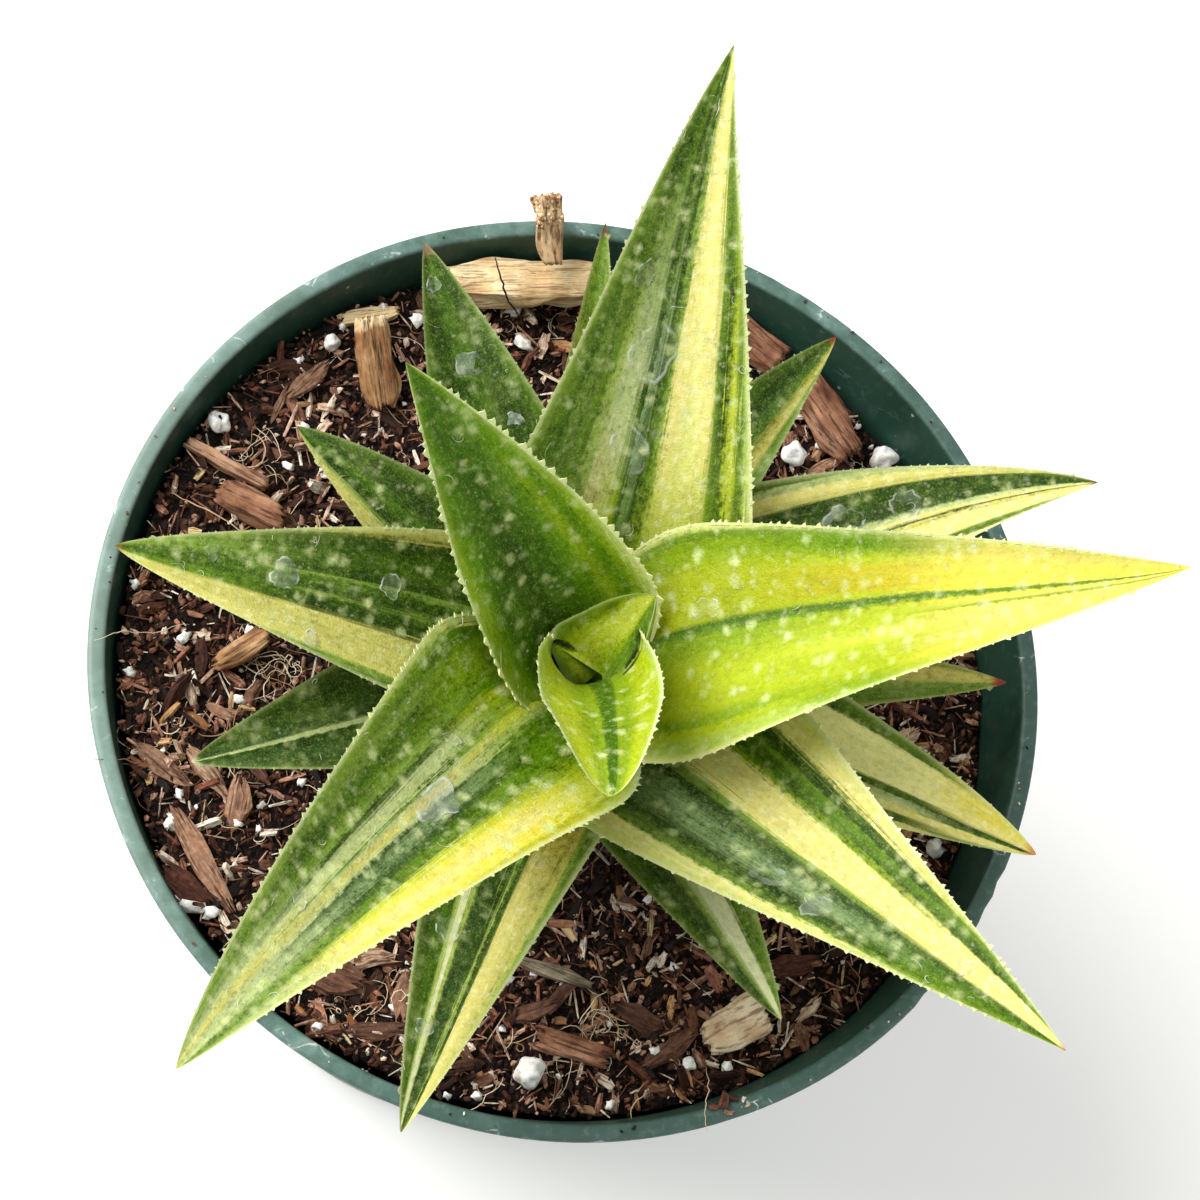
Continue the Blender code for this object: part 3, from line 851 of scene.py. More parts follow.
# fibres laid one by one: points, half thickness and tone
looseFibres = [
    ([(-9.7, 47.9, 91.4), (-8.9, 45.2, 91.2), (-8.2, 43.4, 89.5), (-5.0, 41.6, 86.4)], 0.13, -0.2),
    ([(14.6, -45.6, 89.2), (14.5, -48.5, 91.0), (14.1, -50.5, 90.8), (14.3, -52.6, 90.6)], 0.055, 0.85),
    ([(-53.2, -1.0, 91.0), (-50.5, 0.4, 90.6), (-47, 1.2, 88.0), (-43, 3.0, 86.5)], 0.05, 0.95),
    ([(-52.6, -14.5, 90.4), (-49, -13.6, 89.0), (-44, -13.9, 86.2), (-38.5, -14.6, 86.0)], 0.06, 0.5),
    ([(40.6, -4.0, 82.6), (39.9, -7.5, 82.9), (37.6, -10.5, 83.0), (36.0, -13.5, 82.4)], 0.07, 1.2),
    ([(-45.6, 18.5, 86.4), (-43.0, 17.0, 86.9), (-40.2, 15.7, 86.6), (-36.0, 13.4, 86.6)], 0.09, 0.75),
]


def wanderLine(points, rng):
    # a run through a few points, with small kinks
    points = np.array(points)
    share = np.linspace(0, len(points) - 1, 14)
    line = np.stack([np.interp(share, range(len(points)), points[:, i]) for i in range(3)], -1)
    return line + np.array([[rng.gauss(0, 0.09) for _ in range(3)] for _ in line])


hairParts = []
hairTones = []
tangles = [
    (-33.0, -2.0), (-31.5, -4.0), (-44.0, -12.0), (-24.0, -38.0), (-38.0, 24.0), (33.0, -28.0),
    (4.0, -40.0),
]
for i in range(mix["hairs"]):
    if i % 3 == 0:
        tangle = tangles[i // 3 % len(tangles)]
        x = tangle[0] + rng.gauss(0, mix["tangle"])
        y = tangle[1] + rng.gauss(0, mix["tangle"])
    else:
        _, x, y = spotOnMix(rng, mix["hairReach"])
    if math.hypot(x, y) > mix["hairLimit"]:
        continue
    long = rng.uniform(1.8, 8.0)
    thick = rng.uniform(0.03, 0.07)
    climb = rng.uniform(0.2, 0.9)
    hairParts.append(hairLine(rng, x, y, long, thick, climb, rng.choice((0.2, 0.6))))
    hairTones.append(rng.uniform(0.3, 1.15))
for points, thick, tone in looseFibres:
    hairParts.append(tubeRound(wanderLine(points, rng), thick))
    hairTones.append(tone)
hairFibre = hairFinish()
rootHairs = joinParts("rootHairs", hairParts, hairFibre, hairTones)
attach(rootHairs, "root")


# perlite: popped white grains with small pits

perlite = {
    "bigGrains": (
        (-4.0, -45.6, 3.3), (38.6, 29.4, 3.0), (27.5, 29.0, 2.9), (-40.5, 27.5, 2.5), (14.0, -44.0, 1.5),
        (-28.0, 38.6, 2.0),
    ),
    "lumpiness": 0.42,
    "pitDepth": 0.16,
}


def perliteGrain(seed, x, y, diameter):
    bpy.ops.mesh.primitive_ico_sphere_add(subdivisions=4, radius=diameter / 2 * mm)
    points, faces = takeMesh(bpy.context.object)
    shaped = []
    for p in points:
        v = Vector(p)
        lump = perlite["lumpiness"] * noise.noise(v * 2.3 / diameter + Vector((seed * 5.3, 0, 0)))
        pit = noise.noise(v * 1.9 + Vector((0, seed * 2.7, 0)))
        pit = perlite["pitDepth"] * max(pit - 0.25, 0) * 2.4
        shaped.append(v * (1 + lump - pit) + Vector((x, y, mixHeight(x, y) + 0.7 + diameter * 0.42)))
    return np.array(shaped), faces


def perliteWhite():
    made, tree, shader = newFinish("perliteWhite", 0.75, 0.35)
    place = objectPlace(tree)
    pits = noiseOf(tree, place, 1500, 3.0, 0.6)
    stain = noiseOf(tree, place, 500, 3.0, 0.6)
    colour = colourRamp(tree, pits, "22 #a39e94, 40 #e8e6e0, 55 #fafaf7")
    colour = tint(tree, colour, smoothStep(tree, stain, 0.56, 0.72, 0.0, 0.5), "#b8a283")
    tree.links.new(colour, shader.inputs["Base Color"])
    addBump(tree, shader, pits, 0.5, 0.0003)
    return made


whiteStone = perliteWhite()
for number, (x, y, diameter) in enumerate(perlite["bigGrains"], start=1):
    points, faces = perliteGrain(number, x, y, diameter)
    grain = meshObject(f"perliteGrain{number}", points, faces, whiteStone)
    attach(grain, "root")
    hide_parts(f"perlite_grain_{number}")
grainShapes = [knobblyBall(40 + i, 2, (0.85, 0.75), 1.1) for i in range(5)]
grainPlaces = scatterPlaces(
    mix["whiteGrains"], rng, grainShapes, (0.5, 2.0), (0.65, 1.0), (0.6, 0.95), 0.4, -0.25,
    lambda r: r.random(),
)
# grains laid one by one: x, y, size, share of its width and turn
for x, y, long, share, turn in (
    (-41.6, -28.6, 3.6, 0.5, -12), (-39.2, -29.6, 1.9, 0.8, 20), (-45.0, 9.8, 1.9, 0.9, 0),
    (-43.4, 1.6, 1.7, 0.7, 50), (-46.4, -12.6, 1.6, 0.8, 10), (-44.2, -19.9, 1.6, 0.9, 70),
    (-27.2, -41.4, 1.4, 0.8, 0), (-6.4, 45.0, 2.4, 0.7, 15), (-9.6, 41.2, 2.7, 0.65, 40),
    (-5.2, 40.8, 2.4, 0.6, -25), (-37.0, -5.0, 1.3, 0.8, 0), (-22.4, -46.4, 1.3, 0.7, 30),
):
    z = mixTop(x, y) + 0.9
    spin = turnMatrix(math.radians(turn), 0.2, 0.3)
    size = (long, long * share, long * 0.55)
    grainPlaces.append((rng.randrange(len(grainShapes)), (x, y, z), spin, size, 0.5))
smallGrains = copiesOf("perliteBits", grainShapes, grainPlaces, whiteStone, True)
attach(smallGrains, "root")
print("perlite and hairs ready")


# leaves: each one is a ball drawn out along its spine, with its warts, margin teeth and dried water marks

palette = {
    "ivory": "#ebe98e", "paleGreen": "#a9c055", "cream": "#ece087", "butter": "#e9da52",
    "lime": "#a9b90c", "apple": "#829f0c", "mid": "#5f8214", "green": "#476a10", "deep": "#304d0c",
    "blue": "#3b5624", "olive": "#87882a", "straw": "#c2b85c", "mint": "#a4ba58", "sage": "#738f36",
    "wheat": "#cbc468", "haze": "#82a03e", "frost": "#86a06c", "gold": "#cdbf18", "citron": "#c2ce3a",
    "silver": "#b2c184", "brass": "#b9ad0a", "pearl": "#e2e7bc", "chalk": "#f6f2a6", "honey": "#dccb66",
    "ochre": "#aa9c34", "leek": "#a0ab0a", "moss": "#2b4a00", "fern": "#406800", "leafy": "#5c8600",
}

leafBase = {
    "spacing": 1.25,
    "offset": 1.2,
    "firstHeight": 83.0,
    "stemFoot": (-1.0, 3.5, 83.0),
    "stemTop": (-0.8, -5.0, 100.0),
    "stemEnd": 101.2,
    "stemRadius": (4.4, 2.0),
    "around": 40,
    "along": 84,
    "baseThick": 0.62,
    "wave": 0.25,
    "stripRun": 0.22,
    "wartGap": 1.9,
    "toothGap": 0.95,
}

# what most leaves share. Turn, rise and roll are in degrees and lengths in millimetres. A leaf's stripes run
# from its left margin at 0 to its right margin at 100, and base and tip are its stripes near the two ends
usualLeaf = dict(bend=0, hook=0, roll=0, dish=0.25, taper=0.8, shift=(0, 0, 0), baseShare=0.56,
    right=[(0, 1), (1, 1)], stained=0.985, rim=0.5, lines=1.0, veer=0.0, drawn=0, fleck=1.0, curd="#cdcb66",
    grain="#f2eeb4", wartSize=1.0,
)
leaves = {
    19: dict(turn=85, long=45.4, wide=9.5, rise=16, tipRise=4, thick=2.4, stain="#6a4a2c", stained=0.95,
        warts=0.3, rim=0.1,
        stripes="0 olive, 40 mid, 70 sage, 100 olive",
    ),
    18: dict(turn=353, bend=6, long=46, wide=14, rise=13, tipRise=6, thick=2.6, stain="#8a3b22",
        stained=0.95, warts=0.25, rim=0.15,
        stripes="0 sage, 20 olive, 30 straw, 50 straw, 60 sage, 80 mid, 100 olive",
    ),
    17: dict(turn=144, bend=-1, long=34, wide=16, rise=18, tipRise=4, thick=2.8, stain="#5e5a2a",
        stained=0.98, warts=0.8, rim=0.12,
        stripes="0 ivory, 6 wheat, 20 wheat, 28 mint, 33 deep, 50 green, 70 deep, 96 green, 100 sage",
    ),
    16: dict(turn=296, bend=5, long=44, wide=18, rise=17, tipRise=3, thick=3.0, stain="#c9c884",
        stained=0.97, warts=0.8, rim=0.12,
        stripes="0 sage, 10 haze, 30 mid, 33 silver, 36 pearl, 50 pearl, 54 silver, 58 haze, 65 blue, "
                "90 green, 100 sage",
    ),
    15: dict(turn=54, bend=-7, long=44, wide=16, rise=20, tipRise=5, thick=3.0, stain="#8a3b22",
        stained=0.965, warts=0.5, rim=0.1,
        stripes="0 mid, 10 green, 40 deep, 64 green, 68 olive, 78 straw, 83 mid, 100 sage",
    ),
    14: dict(turn=204, bend=-5, long=41, wide=18, rise=21, tipRise=5, thick=3.2, taper=0.75,
        stain="#d8cdaa", stained=0.975, warts=0.5, rim=0.12,
        stripes="0 sage, 5 deep, 25 blue, 43 deep, 45.5 silver, 48 silver, 50 blue, 75 deep, 93 deep, "
                "100 sage",
    ),
    13: dict(turn=336, bend=-3, long=52, wide=19, rise=25, tipRise=3, thick=3.4, taper=0.75,
        change=(0.78, 0.94), stain="#c98a4e", stained=0.965, warts=0.25, rim=0.22,
        stripes="0 sage, 4 deep, 14 green, 19 chalk, 50 chalk, 53 green, 57 deep, 60 silver, 74 cream, "
                "78 green, 83 deep, 87 cream, 100 ivory",
        tip="0 cream, 30 butter, 52 cream, 58 deep, 66 green, 70 cream, 80 cream, 86 deep, 100 mint",
    ),
    12: dict(turn=115, bend=-4, long=45, wide=19, rise=25, tipRise=11, thick=3.4, stain="#8d6f58",
        stained=0.955, warts=0.5, rim=0.14,
        stripes="0 sage, 4 green, 30 deep, 50 green, 70 deep, 96 green, 100 sage",
    ),
    11: dict(turn=250, hook=2, long=56, wide=20, rise=25, tipRise=7, thick=3.1, taper=0.82,
        baseChange=(0.35, 0.62), stain="#7c6a3c", warts=0.5, rim=0.3,
        stripes="0 sage, 3 green, 8 haze, 13 wheat, 31 cream, 34 green, 37 deep, 39 mint, 41 deep, "
                "54 blue, 58 mint, 61 pearl, 64 pearl, 67 mint, 70 green, 92 deep, 100 sage",
        base="0 green, 5 deep, 10 mid, 14 ochre, 31 ochre, 34 deep, 39 haze, 41 deep, 54 deep, 58 haze, "
             "70 haze, 73 deep, 100 green",
    ),
    10: dict(turn=27, bend=-16, hook=-6, long=58, wide=21.5, rise=31, tipRise=6, roll=-1, thick=3.2,
        taper=0.88, stain="#5c3a1c", stained=0.975, warts=0.8, rim=0.28,
        stripes="0 sage, 6 deep, 10 silver, 14 cream, 20 wheat, 23 deep, 30 deep, 42 deep, 46 silver, "
                "52 cream, 55 deep, 58 wheat, 62 cream, 76 cream, 80 mid, 84 deep, 88 cream, 100 wheat",
    ),
    9: dict(turn=173.5, bend=4, hook=-6, long=50.5, wide=21.5, rise=31, tipRise=11, thick=3.8,
        taper=0.78, change=(0.6, 0.9), stain="#7d5a36", stained=0.975, warts=1.0, rim=0.25,
        stripes="0 sage, 4 deep, 9 haze, 14 wheat, 37 wheat, 41 deep, 46 deep, 51 green, 53 sage, "
                "55 deep, 60 green, 63.5 haze, 66 deep, 80 green, 90 deep, 94 straw, 100 ivory",
        tip="0 mint, 10 cream, 25 wheat, 36 wheat, 42 mid, 60 green, 75 haze, 100 sage",
    ),
    8: dict(turn=310, bend=12, hook=-5, long=66, wide=26.5, rise=33, tipRise=15, roll=1, thick=4.0,
        taper=0.95, baseChange=(0.14, 0.36), change=(0.66, 0.9), stain="#b9702c",
        warts=0.95, rim=0.4,
        stripes="0 ivory, 3 cream, 14 cream, 16.5 green, 19 deep, 22 mid, 27 green, 31 apple, 34 cream, "
                "50 cream, 53.5 haze, 57 blue, 70 frost, 78 blue, 85 sage, 88 ivory, 95 ivory, 100 ivory",
        base="0 straw, 9 olive, 12 deep, 19 deep, 22 green, 27 deep, 32 olive, 50 olive, 55 deep, "
             "84 green, 88 straw, 100 ivory",
        tip="0 cream, 12 lime, 16 mid, 26 green, 31 cream, 52 cream, 58 green, 80 mid, 90 mint, "
            "100 ivory",
    ),
    7: dict(turn=77, bend=10, hook=-12, long=66.5, wide=27.5, rise=39, tipRise=22, roll=6, thick=4.8,
        taper=0.95, change=(0.45, 0.95), baseChange=(0.18, 0.5), stain="#5f6a30", stained=0.99,
        warts=1.0, rim=0.38,
        stripes="0 ivory, 3 paleGreen, 6 sage, 10 mid, 15 green, 19 sage, 25 mid, 30 mint, 35 silver, "
                "42 silver, 45 green, 47 deep, 49 frost, 52 deep, 55 green, 58 haze, 61 cream, 70 ivory, "
                "79 cream, 82 mid, 84.5 deep, 87 lime, 90 citron, 93 green, 96.5 paleGreen, 100 ivory",
        tip="0 paleGreen, 8 mid, 30 green, 40 mid, 44 deep, 49 sage, 53 deep, 58 haze, 64 cream, "
            "74 cream, 80 mid, 90 green, 100 mint",
        base="0 ivory, 3 paleGreen, 6 mid, 14 green, 30 mid, 36 straw, 44 lime, 46 green, 49 mid, "
             "52 deep, 55 apple, 60 citron, 68 citron, 78 lime, 82 apple, 85 mid, 88 lime, 92 apple, "
             "97 paleGreen, 100 ivory",
    ),
    6: dict(turn=229, bend=-1, hook=7, long=76.5, wide=26, rise=52, tipRise=14, roll=-1, thick=4.6,
        baseChange=(0.22, 0.45), change=(0.72, 0.97), stain="#b9c060", warts=1.15,
        rim=0.34, drawn=1.6, curd="#d6c838", grain="#efe88c",
        stripes="0 cream, 4 gold, 10 butter, 16 cream, 22 butter, 26 citron, 30 sage, 34 mid, 38 blue, "
                "44 frost, 48 blue, 50 silver, 53 wheat, 56 silver, 58 mid, 60 silver, 65 silver, "
                "67.5 deep, 71 haze, 77 mid, 81 green, 87 sage, 93 mid, 96.5 paleGreen, 100 ivory",
        base="0 paleGreen, 5 lime, 14 citron, 21 lime, 26 apple, 34 leafy, 47 leafy, 50 mint, 54 citron, "
             "60 apple, 67 lime, 70 leafy, 80 apple, 95 leafy, 100 ivory",
        tip="0 citron, 18 silver, 30 sage, 42 silver, 50 silver, 58 wheat, 66 silver, 80 haze, "
            "100 paleGreen",
    ),
    5: dict(turn=4, bend=-4, hook=6, long=65, wide=25, rise=50, tipRise=20, roll=-3, thick=4.6,
        dish=0.28, taper=0.9, change=(0.56, 0.82), baseChange=(0.3, 0.58), stain="#d8c880",
        warts=1.1, rim=0.3, lines=0.3, veer=0.17, curd="#a3b018", grain="#d6d34a",
        fleck=0.45,
        stripes="0 paleGreen, 2.5 mid, 9 leafy, 13 apple, 17 lime, 21 brass, 33 brass, 38 lime, 40 green, "
                "42 mid, 45 lime, 52 lime, 60 citron, 68 lime, 80 lime, 90 apple, 96 paleGreen, "
                "100 ivory",
        tip="0 cream, 10 honey, 30 butter, 38 butter, 40 mid, 41.5 mid, 44 butter, 47 honey, 50 apple, "
            "52 honey, 70 honey, 86 butter, 100 cream",
        base="0 ivory, 4 mid, 8 apple, 20 leek, 34 leek, 37 leek, 39.5 green, 42 mid, 45 apple, 60 lime, "
             "75 lime, 84 apple, 87 lime, 95 paleGreen, 100 ivory",
    ),
    4: dict(turn=135, bend=-1, long=43, wide=22.5, rise=52, tipRise=29, roll=-9, thick=3.0, dish=0.28,
        taper=0.9, shift=(2.4, -0.8, -1.7), baseShare=0.5, curl=[(0, 64), (0.2, 60), (0.5, 28), (1, 12)],
        change=(0.5, 0.9), stain="#5f7a30", warts=0.75, rim=0.36, lines=0.7, teeth=1.45,
        fleck=0.7,
        stripes="0 ivory, 3 mint, 8 apple, 19 leafy, 27 fern, 45 moss, 60 fern, 70 leafy, 76 apple, "
                "84 leafy, 92 apple, 96 paleGreen, 100 ivory",
        tip="0 paleGreen, 15 leafy, 35 fern, 60 fern, 80 leafy, 100 paleGreen",
    ),
    3: dict(turn=264, bend=2, long=38, wide=18.5, rise=80, tipRise=34, roll=6, thick=1.8, dish=0.52,
        taper=0.54, shift=(-0.5, 2.0, -1.6), baseShare=0.75,
        curl=[(0, 118), (0.3, 96), (0.6, 36), (1, 32)],
        right=[(0, 0.72), (0.18, 0.76), (0.4, 1), (1, 1)], stain="#b9cc60", warts=1.1,
        rim=0.5, lines=0.4, drawn=1.8, curd="#8fa81c", grain="#dbe07a", fleck=0.6,
        stripes="0 ivory, 4 paleGreen, 9 lime, 20 lime, 32 apple, 37 apple, 40 fern, 48 fern, 52 apple, "
                "57 apple, 70 lime, 85 lime, 94 paleGreen, 100 ivory",
    ),
    2: dict(turn=55, long=12.9, wide=14.2, rise=58, tipRise=60, roll=-27, thick=1.6, dish=0.4, taper=0.6,
        shift=(0.29, -0.69, 0.78), baseShare=0.8, curl=[(0, 67), (0.5, 66), (1, 56)],
        right=[(0, 0.5), (0.35, 0.66), (0.7, 0.9), (1, 1)], baseChange=(0.25, 0.65), stain="#8fb030",
        warts=0.5, wartSize=0.7, teeth=0.35, lines=0.3,
        stripes="0 ivory, 4 paleGreen, 10 lime, 16 apple, 22 lime, 28 citron, 44 citron, 49 lime, 53 mid, "
                "66 green, 85 mid, 95 apple, 100 ivory",
        base="0 paleGreen, 6 apple, 20 lime, 35 lime, 50 apple, 60 mid, 100 apple",
    ),
    1: dict(turn=150, bend=-8, long=7.2, wide=5.2, rise=38, tipRise=12, roll=-12, thick=2.2, dish=-0.35,
        taper=0.42, shift=(1.9, 1.5, -2.4), baseShare=0.9, stain="#4a6a18", stained=0.99, warts=0.15,
        wartSize=0.6, teeth=0.0, rim=0.15, lines=0.3,
        stripes="0 mid, 30 lime, 50 apple, 100 mid",
    ),
}
leaves = {number: {**usualLeaf, **leaf} for number, leaf in leaves.items()}


def stemAt(z):
    foot = np.array(leafBase["stemFoot"])
    top = np.array(leafBase["stemTop"])
    return foot + (top - foot) * (z - foot[2]) / (top[2] - foot[2])


def stemThick(z):
    low, high = leafBase["stemRadius"]
    foot = leafBase["stemFoot"][2]
    return low + (high - low) * max((z - foot) / (leafBase["stemEnd"] - foot), 0)


def layLeaf(number):
    # works out the leaf's spine and its directions at many steps from base to tip
    leaf = leaves[number]
    order = 19 - number
    height = leafBase["firstHeight"] + order * leafBase["spacing"]
    offset = (stemThick(height) + leafBase["offset"]) * min(1, 0.2 + 0.2 * number)
    heading = math.radians(leaf["turn"])
    place = stemAt(height) + offset * np.array((math.cos(heading), math.sin(heading), 0))
    place = place + np.array(leaf["shift"])
    steps = 200
    t = np.linspace(0, 1, steps + 1)

    def headingAt(share):
        return np.radians(leaf["turn"] + leaf["bend"] * share + leaf["hook"] * share ** 4)

    def directionAt(share):
        h = headingAt(share)
        p = np.radians(leaf["rise"] + (leaf["tipRise"] - leaf["rise"]) * share)
        return np.stack([np.cos(p) * np.cos(h), np.cos(p) * np.sin(h), np.sin(p)], -1)

    middle = directionAt((t[1:] + t[:-1]) / 2)
    centre = np.concatenate([[place], place + np.cumsum(middle * leaf["long"] / steps, 0)])
    along = directionAt(t)
    h = headingAt(t)
    level = np.stack([-np.sin(h), np.cos(h), 0 * h], -1)
    roll = math.radians(leaf["roll"])
    side = level * math.cos(roll) + np.cross(along, level) * math.sin(roll)
    leaf["t"] = t
    leaf["centre"] = centre
    leaf["along"] = along
    leaf["side"] = side
    leaf["up"] = np.cross(along, side)
    return leaf


def atStep(leaf, key, t):
    return np.stack([np.interp(t, leaf["t"], leaf[key][:, i]) for i in range(3)], -1)


def halfWidth(leaf, t):
    base = leaf["baseShare"]
    swell = base + (1 - base) * np.sin(np.minimum(t / 0.25, 1) * np.pi / 2)
    return np.maximum(leaf["wide"] / 2 * swell * (np.maximum(1 - t, 0) / 0.75) ** leaf["taper"], 0.10)


def thickAt(leaf, t):
    base = leafBase["baseThick"]
    swell = base + (1 - base) * np.sin(np.minimum(t / 0.36, 1) * np.pi / 2)
    return np.maximum(leaf["thick"] * swell * (np.maximum(1 - t, 0) / 0.64) ** 0.55, 0.2)


def edgeShare(leaf, x, t):
    # a leaf's right half may be narrower than its left
    right = np.interp(t, *zip(*leaf["right"]))
    return np.where(x > 0, 1.0, right)


def onLeaf(leaf, x, t, under):
    # the place of a point across (-1 right margin to 1 left margin) and along (0 base to 1 tip)
    half = halfWidth(leaf, t)
    reach = half * edgeShare(leaf, x, t)
    deep = under * thickAt(leaf, t) * (1 - np.abs(x) ** 1.6)
    if "curl" in leaf:
        # a clasping leaf: its section is an arc that opens towards the tip
        arc = np.radians(np.interp(t, *zip(*leaf["curl"])))
        radius = reach / arc
        wide = (radius + deep) * np.sin(x * arc)
        lift = radius - (radius + deep) * np.cos(x * arc)
    else:
        wide = reach * x
        lift = leaf["dish"] * half * x * x - deep
    lift = lift + 0.017 * half * np.sin(x * 9 + leaf["turn"]) * (1 - x * x)
    lift = lift + leafBase["wave"] * np.sin(t * 11 + leaf["turn"] + x * 1.2) * np.abs(x) * np.sin(np.pi * t)
    centre = atStep(leaf, "centre", t)
    return centre + atStep(leaf, "side", t) * wide[:, None] + atStep(leaf, "up", t) * lift[:, None]


def stripPlace(leaf, x, t):
    widest = np.maximum(halfWidth(leaf, np.maximum(t, 0.25)) / halfWidth(leaf, np.array([0.25]))[0], 1e-3)
    return np.stack([0.5 - 0.5 * x * widest ** leafBase["stripRun"], t], -1)


def edgeGap(leaf, x, t):
    # millimetres in from the margin, drawn closer together towards the tip
    return (1 - np.abs(x)) * np.sqrt(halfWidth(leaf, t) * leaf["wide"] / 2)


def drawnOut(leaf, t):
    # how far the skin is stretched along the leaf near its base
    return 1 + leaf["drawn"] * np.maximum(1 - t / 0.55, 0)


def skinPlace(leaf, x, t):
    # millimetres across and along, divided by a hundred
    steps = np.linspace(0, 1, 120)
    even = np.concatenate([[0], np.cumsum(1 / drawnOut(leaf, (steps[1:] + steps[:-1]) / 2)) / 119])
    along = np.interp(t, steps, even) * leaf["long"]
    return np.stack([x * halfWidth(leaf, t), along], -1) / 100 + np.array((0.2, 0.0))


bpy.ops.mesh.primitive_uv_sphere_add(segments=leafBase["around"], ring_count=leafBase["along"], radius=1 * mm)
ballPoints, ballFaces = takeMesh(bpy.context.object)
ballShare = 0.5 + np.arcsin(np.clip(ballPoints[:, 2], -1, 1)) / np.pi
ballTurn = np.arctan2(ballPoints[:, 1], ballPoints[:, 0])
poles = np.abs(ballPoints[:, 2]) > 0.99999


def leafBody(leaf):
    t = 1 - (1 - ballShare) ** 1.25
    x = np.cos(ballTurn)
    x = np.where(np.abs(x) > 0.99999, np.sign(x), x)
    x = np.where(poles, 0, x)
    under = (ballTurn < -1e-4) & (np.abs(x) < 1)
    points = onLeaf(leaf, x, t, under.astype(float))
    return points, [tuple(reversed(f)) for f in ballFaces], x, t, np.zeros(len(x))


def frameOn(leaf, x, t, under=0.0):
    x = np.atleast_1d(np.asarray(x, float))
    t = np.atleast_1d(np.asarray(t, float))
    place = onLeaf(leaf, x, t, under)
    ahead = onLeaf(leaf, x, np.minimum(t + 0.01, 1), under) - onLeaf(leaf, x, t - 0.01, under)
    ahead /= np.linalg.norm(ahead, axis=1)[:, None]
    aside = onLeaf(leaf, np.minimum(x + 0.02, 1), t, under) - onLeaf(leaf, np.maximum(x - 0.02, -1), t, under)
    out = np.cross(ahead, aside)
    out /= np.linalg.norm(out, axis=1)[:, None]
    aside = np.cross(out, ahead)
    return place, ahead, aside, out


def wartShape(rng):
    # a low, uneven blister with five to seven lobes
    lobes = rng.choice((5, 6, 7))
    reach = [rng.uniform(0.85, 1.15) for _ in range(lobes)]
    points = [(0, 0, 1.0)]
    pale = [0.34]
    for share, height, tone in ((0.45, 0.78, 0.24), (0.9, 0.2, 0.05), (1.2, -0.3, 0.0)):
        for i in range(lobes):
            a = math.tau * (i + 0.5 * share) / lobes
            wide = share * (1 + (reach[i] - 1) * share)
            points.append((wide * math.cos(a), wide * math.sin(a), height))
            pale.append(tone)
    faces = [(0, 1 + i, 1 + (i + 1) % lobes) for i in range(lobes)]
    for ring in (0, 1):
        low = 1 + ring * lobes
        for i in range(lobes):
            j = (i + 1) % lobes
            faces.append((low + i, low + lobes + i, low + lobes + j, low + j))
    faces.append(tuple(reversed(range(1 + 2 * lobes, 1 + 3 * lobes))))
    return np.array(points), faces, np.array(pale)


wartRandom = random.Random(5)
wartShapes = [wartShape(wartRandom) for _ in range(12)]


def leafWarts(leaf, rng, under=False):
    # pale low warts in loose cross rows, often two or three together
    density = leaf["warts"] * (0.4 if under else 0.7)
    spacing = leafBase["wartGap"] * (1.5 if under else 1)
    scale = leaf["wartSize"]
    got = []
    s = 0.05 * leaf["long"]
    while s < leaf["long"] * 0.985:
        t = s / leaf["long"]
        half = float(halfWidth(leaf, np.array([t]))[0])
        y = -half * 0.96 + rng.random() * spacing
        while y < half * 0.96:
            cloud = noiseAt(y * 0.25, s * 0.16, leaf["turn"])
            if rng.random() < density * (0.60 + 1.3 * cloud):
                size = within(rng.gauss(0.30, 0.10), 0.14, 0.55) * scale
                tone = rng.uniform(0.2, 1.0)
                across = y + rng.gauss(0, 0.2)
                ahead = s + rng.gauss(0, 0.32)
                stretch = float(drawnOut(leaf, t))
                for i in range(rng.choice((1, 1, 1, 2, 2, 3))):
                    own = size * rng.uniform(0.7, 1.1)
                    got.append((across, ahead, own, stretch * rng.uniform(0.8, 1.35), tone))
                    across += size * rng.uniform(0.9, 1.7) * rng.choice((-1, 1))
                    ahead += size * stretch * rng.uniform(-0.9, 0.9)
            y += spacing * rng.uniform(0.5, 1.25)
        s += spacing * rng.uniform(0.55, 0.95)
    if not got:
        return []
    ts = np.clip(np.array([g[1] for g in got]) / leaf["long"], 0.02, 0.99)
    halves = halfWidth(leaf, ts)
    xs = np.clip(np.array([g[0] for g in got]) / halves, -0.97, 0.97)
    place, ahead, aside, out = frameOn(leaf, xs, ts, float(under))
    if under:
        out = -out
        aside = -aside
    parts = []
    for i, (_, _, size, stretch, tone) in enumerate(got):
        shape, shapeFaces, shapePale = wartShapes[rng.randrange(len(wartShapes))]
        height = min(0.13 * size, 0.05)
        turned = np.stack([ahead[i] * size * stretch, aside[i] * size, out[i] * height])
        points = shape @ turned + place[i]
        px = np.clip(xs[i] + shape[:, 1] * size / max(halves[i], 0.3) * (-1 if under else 1), -1, 1)
        pt = np.clip(ts[i] + shape[:, 0] * size * stretch / leaf["long"], 0, 1)
        parts.append((points, shapeFaces, px, pt, shapePale * tone))
    return parts


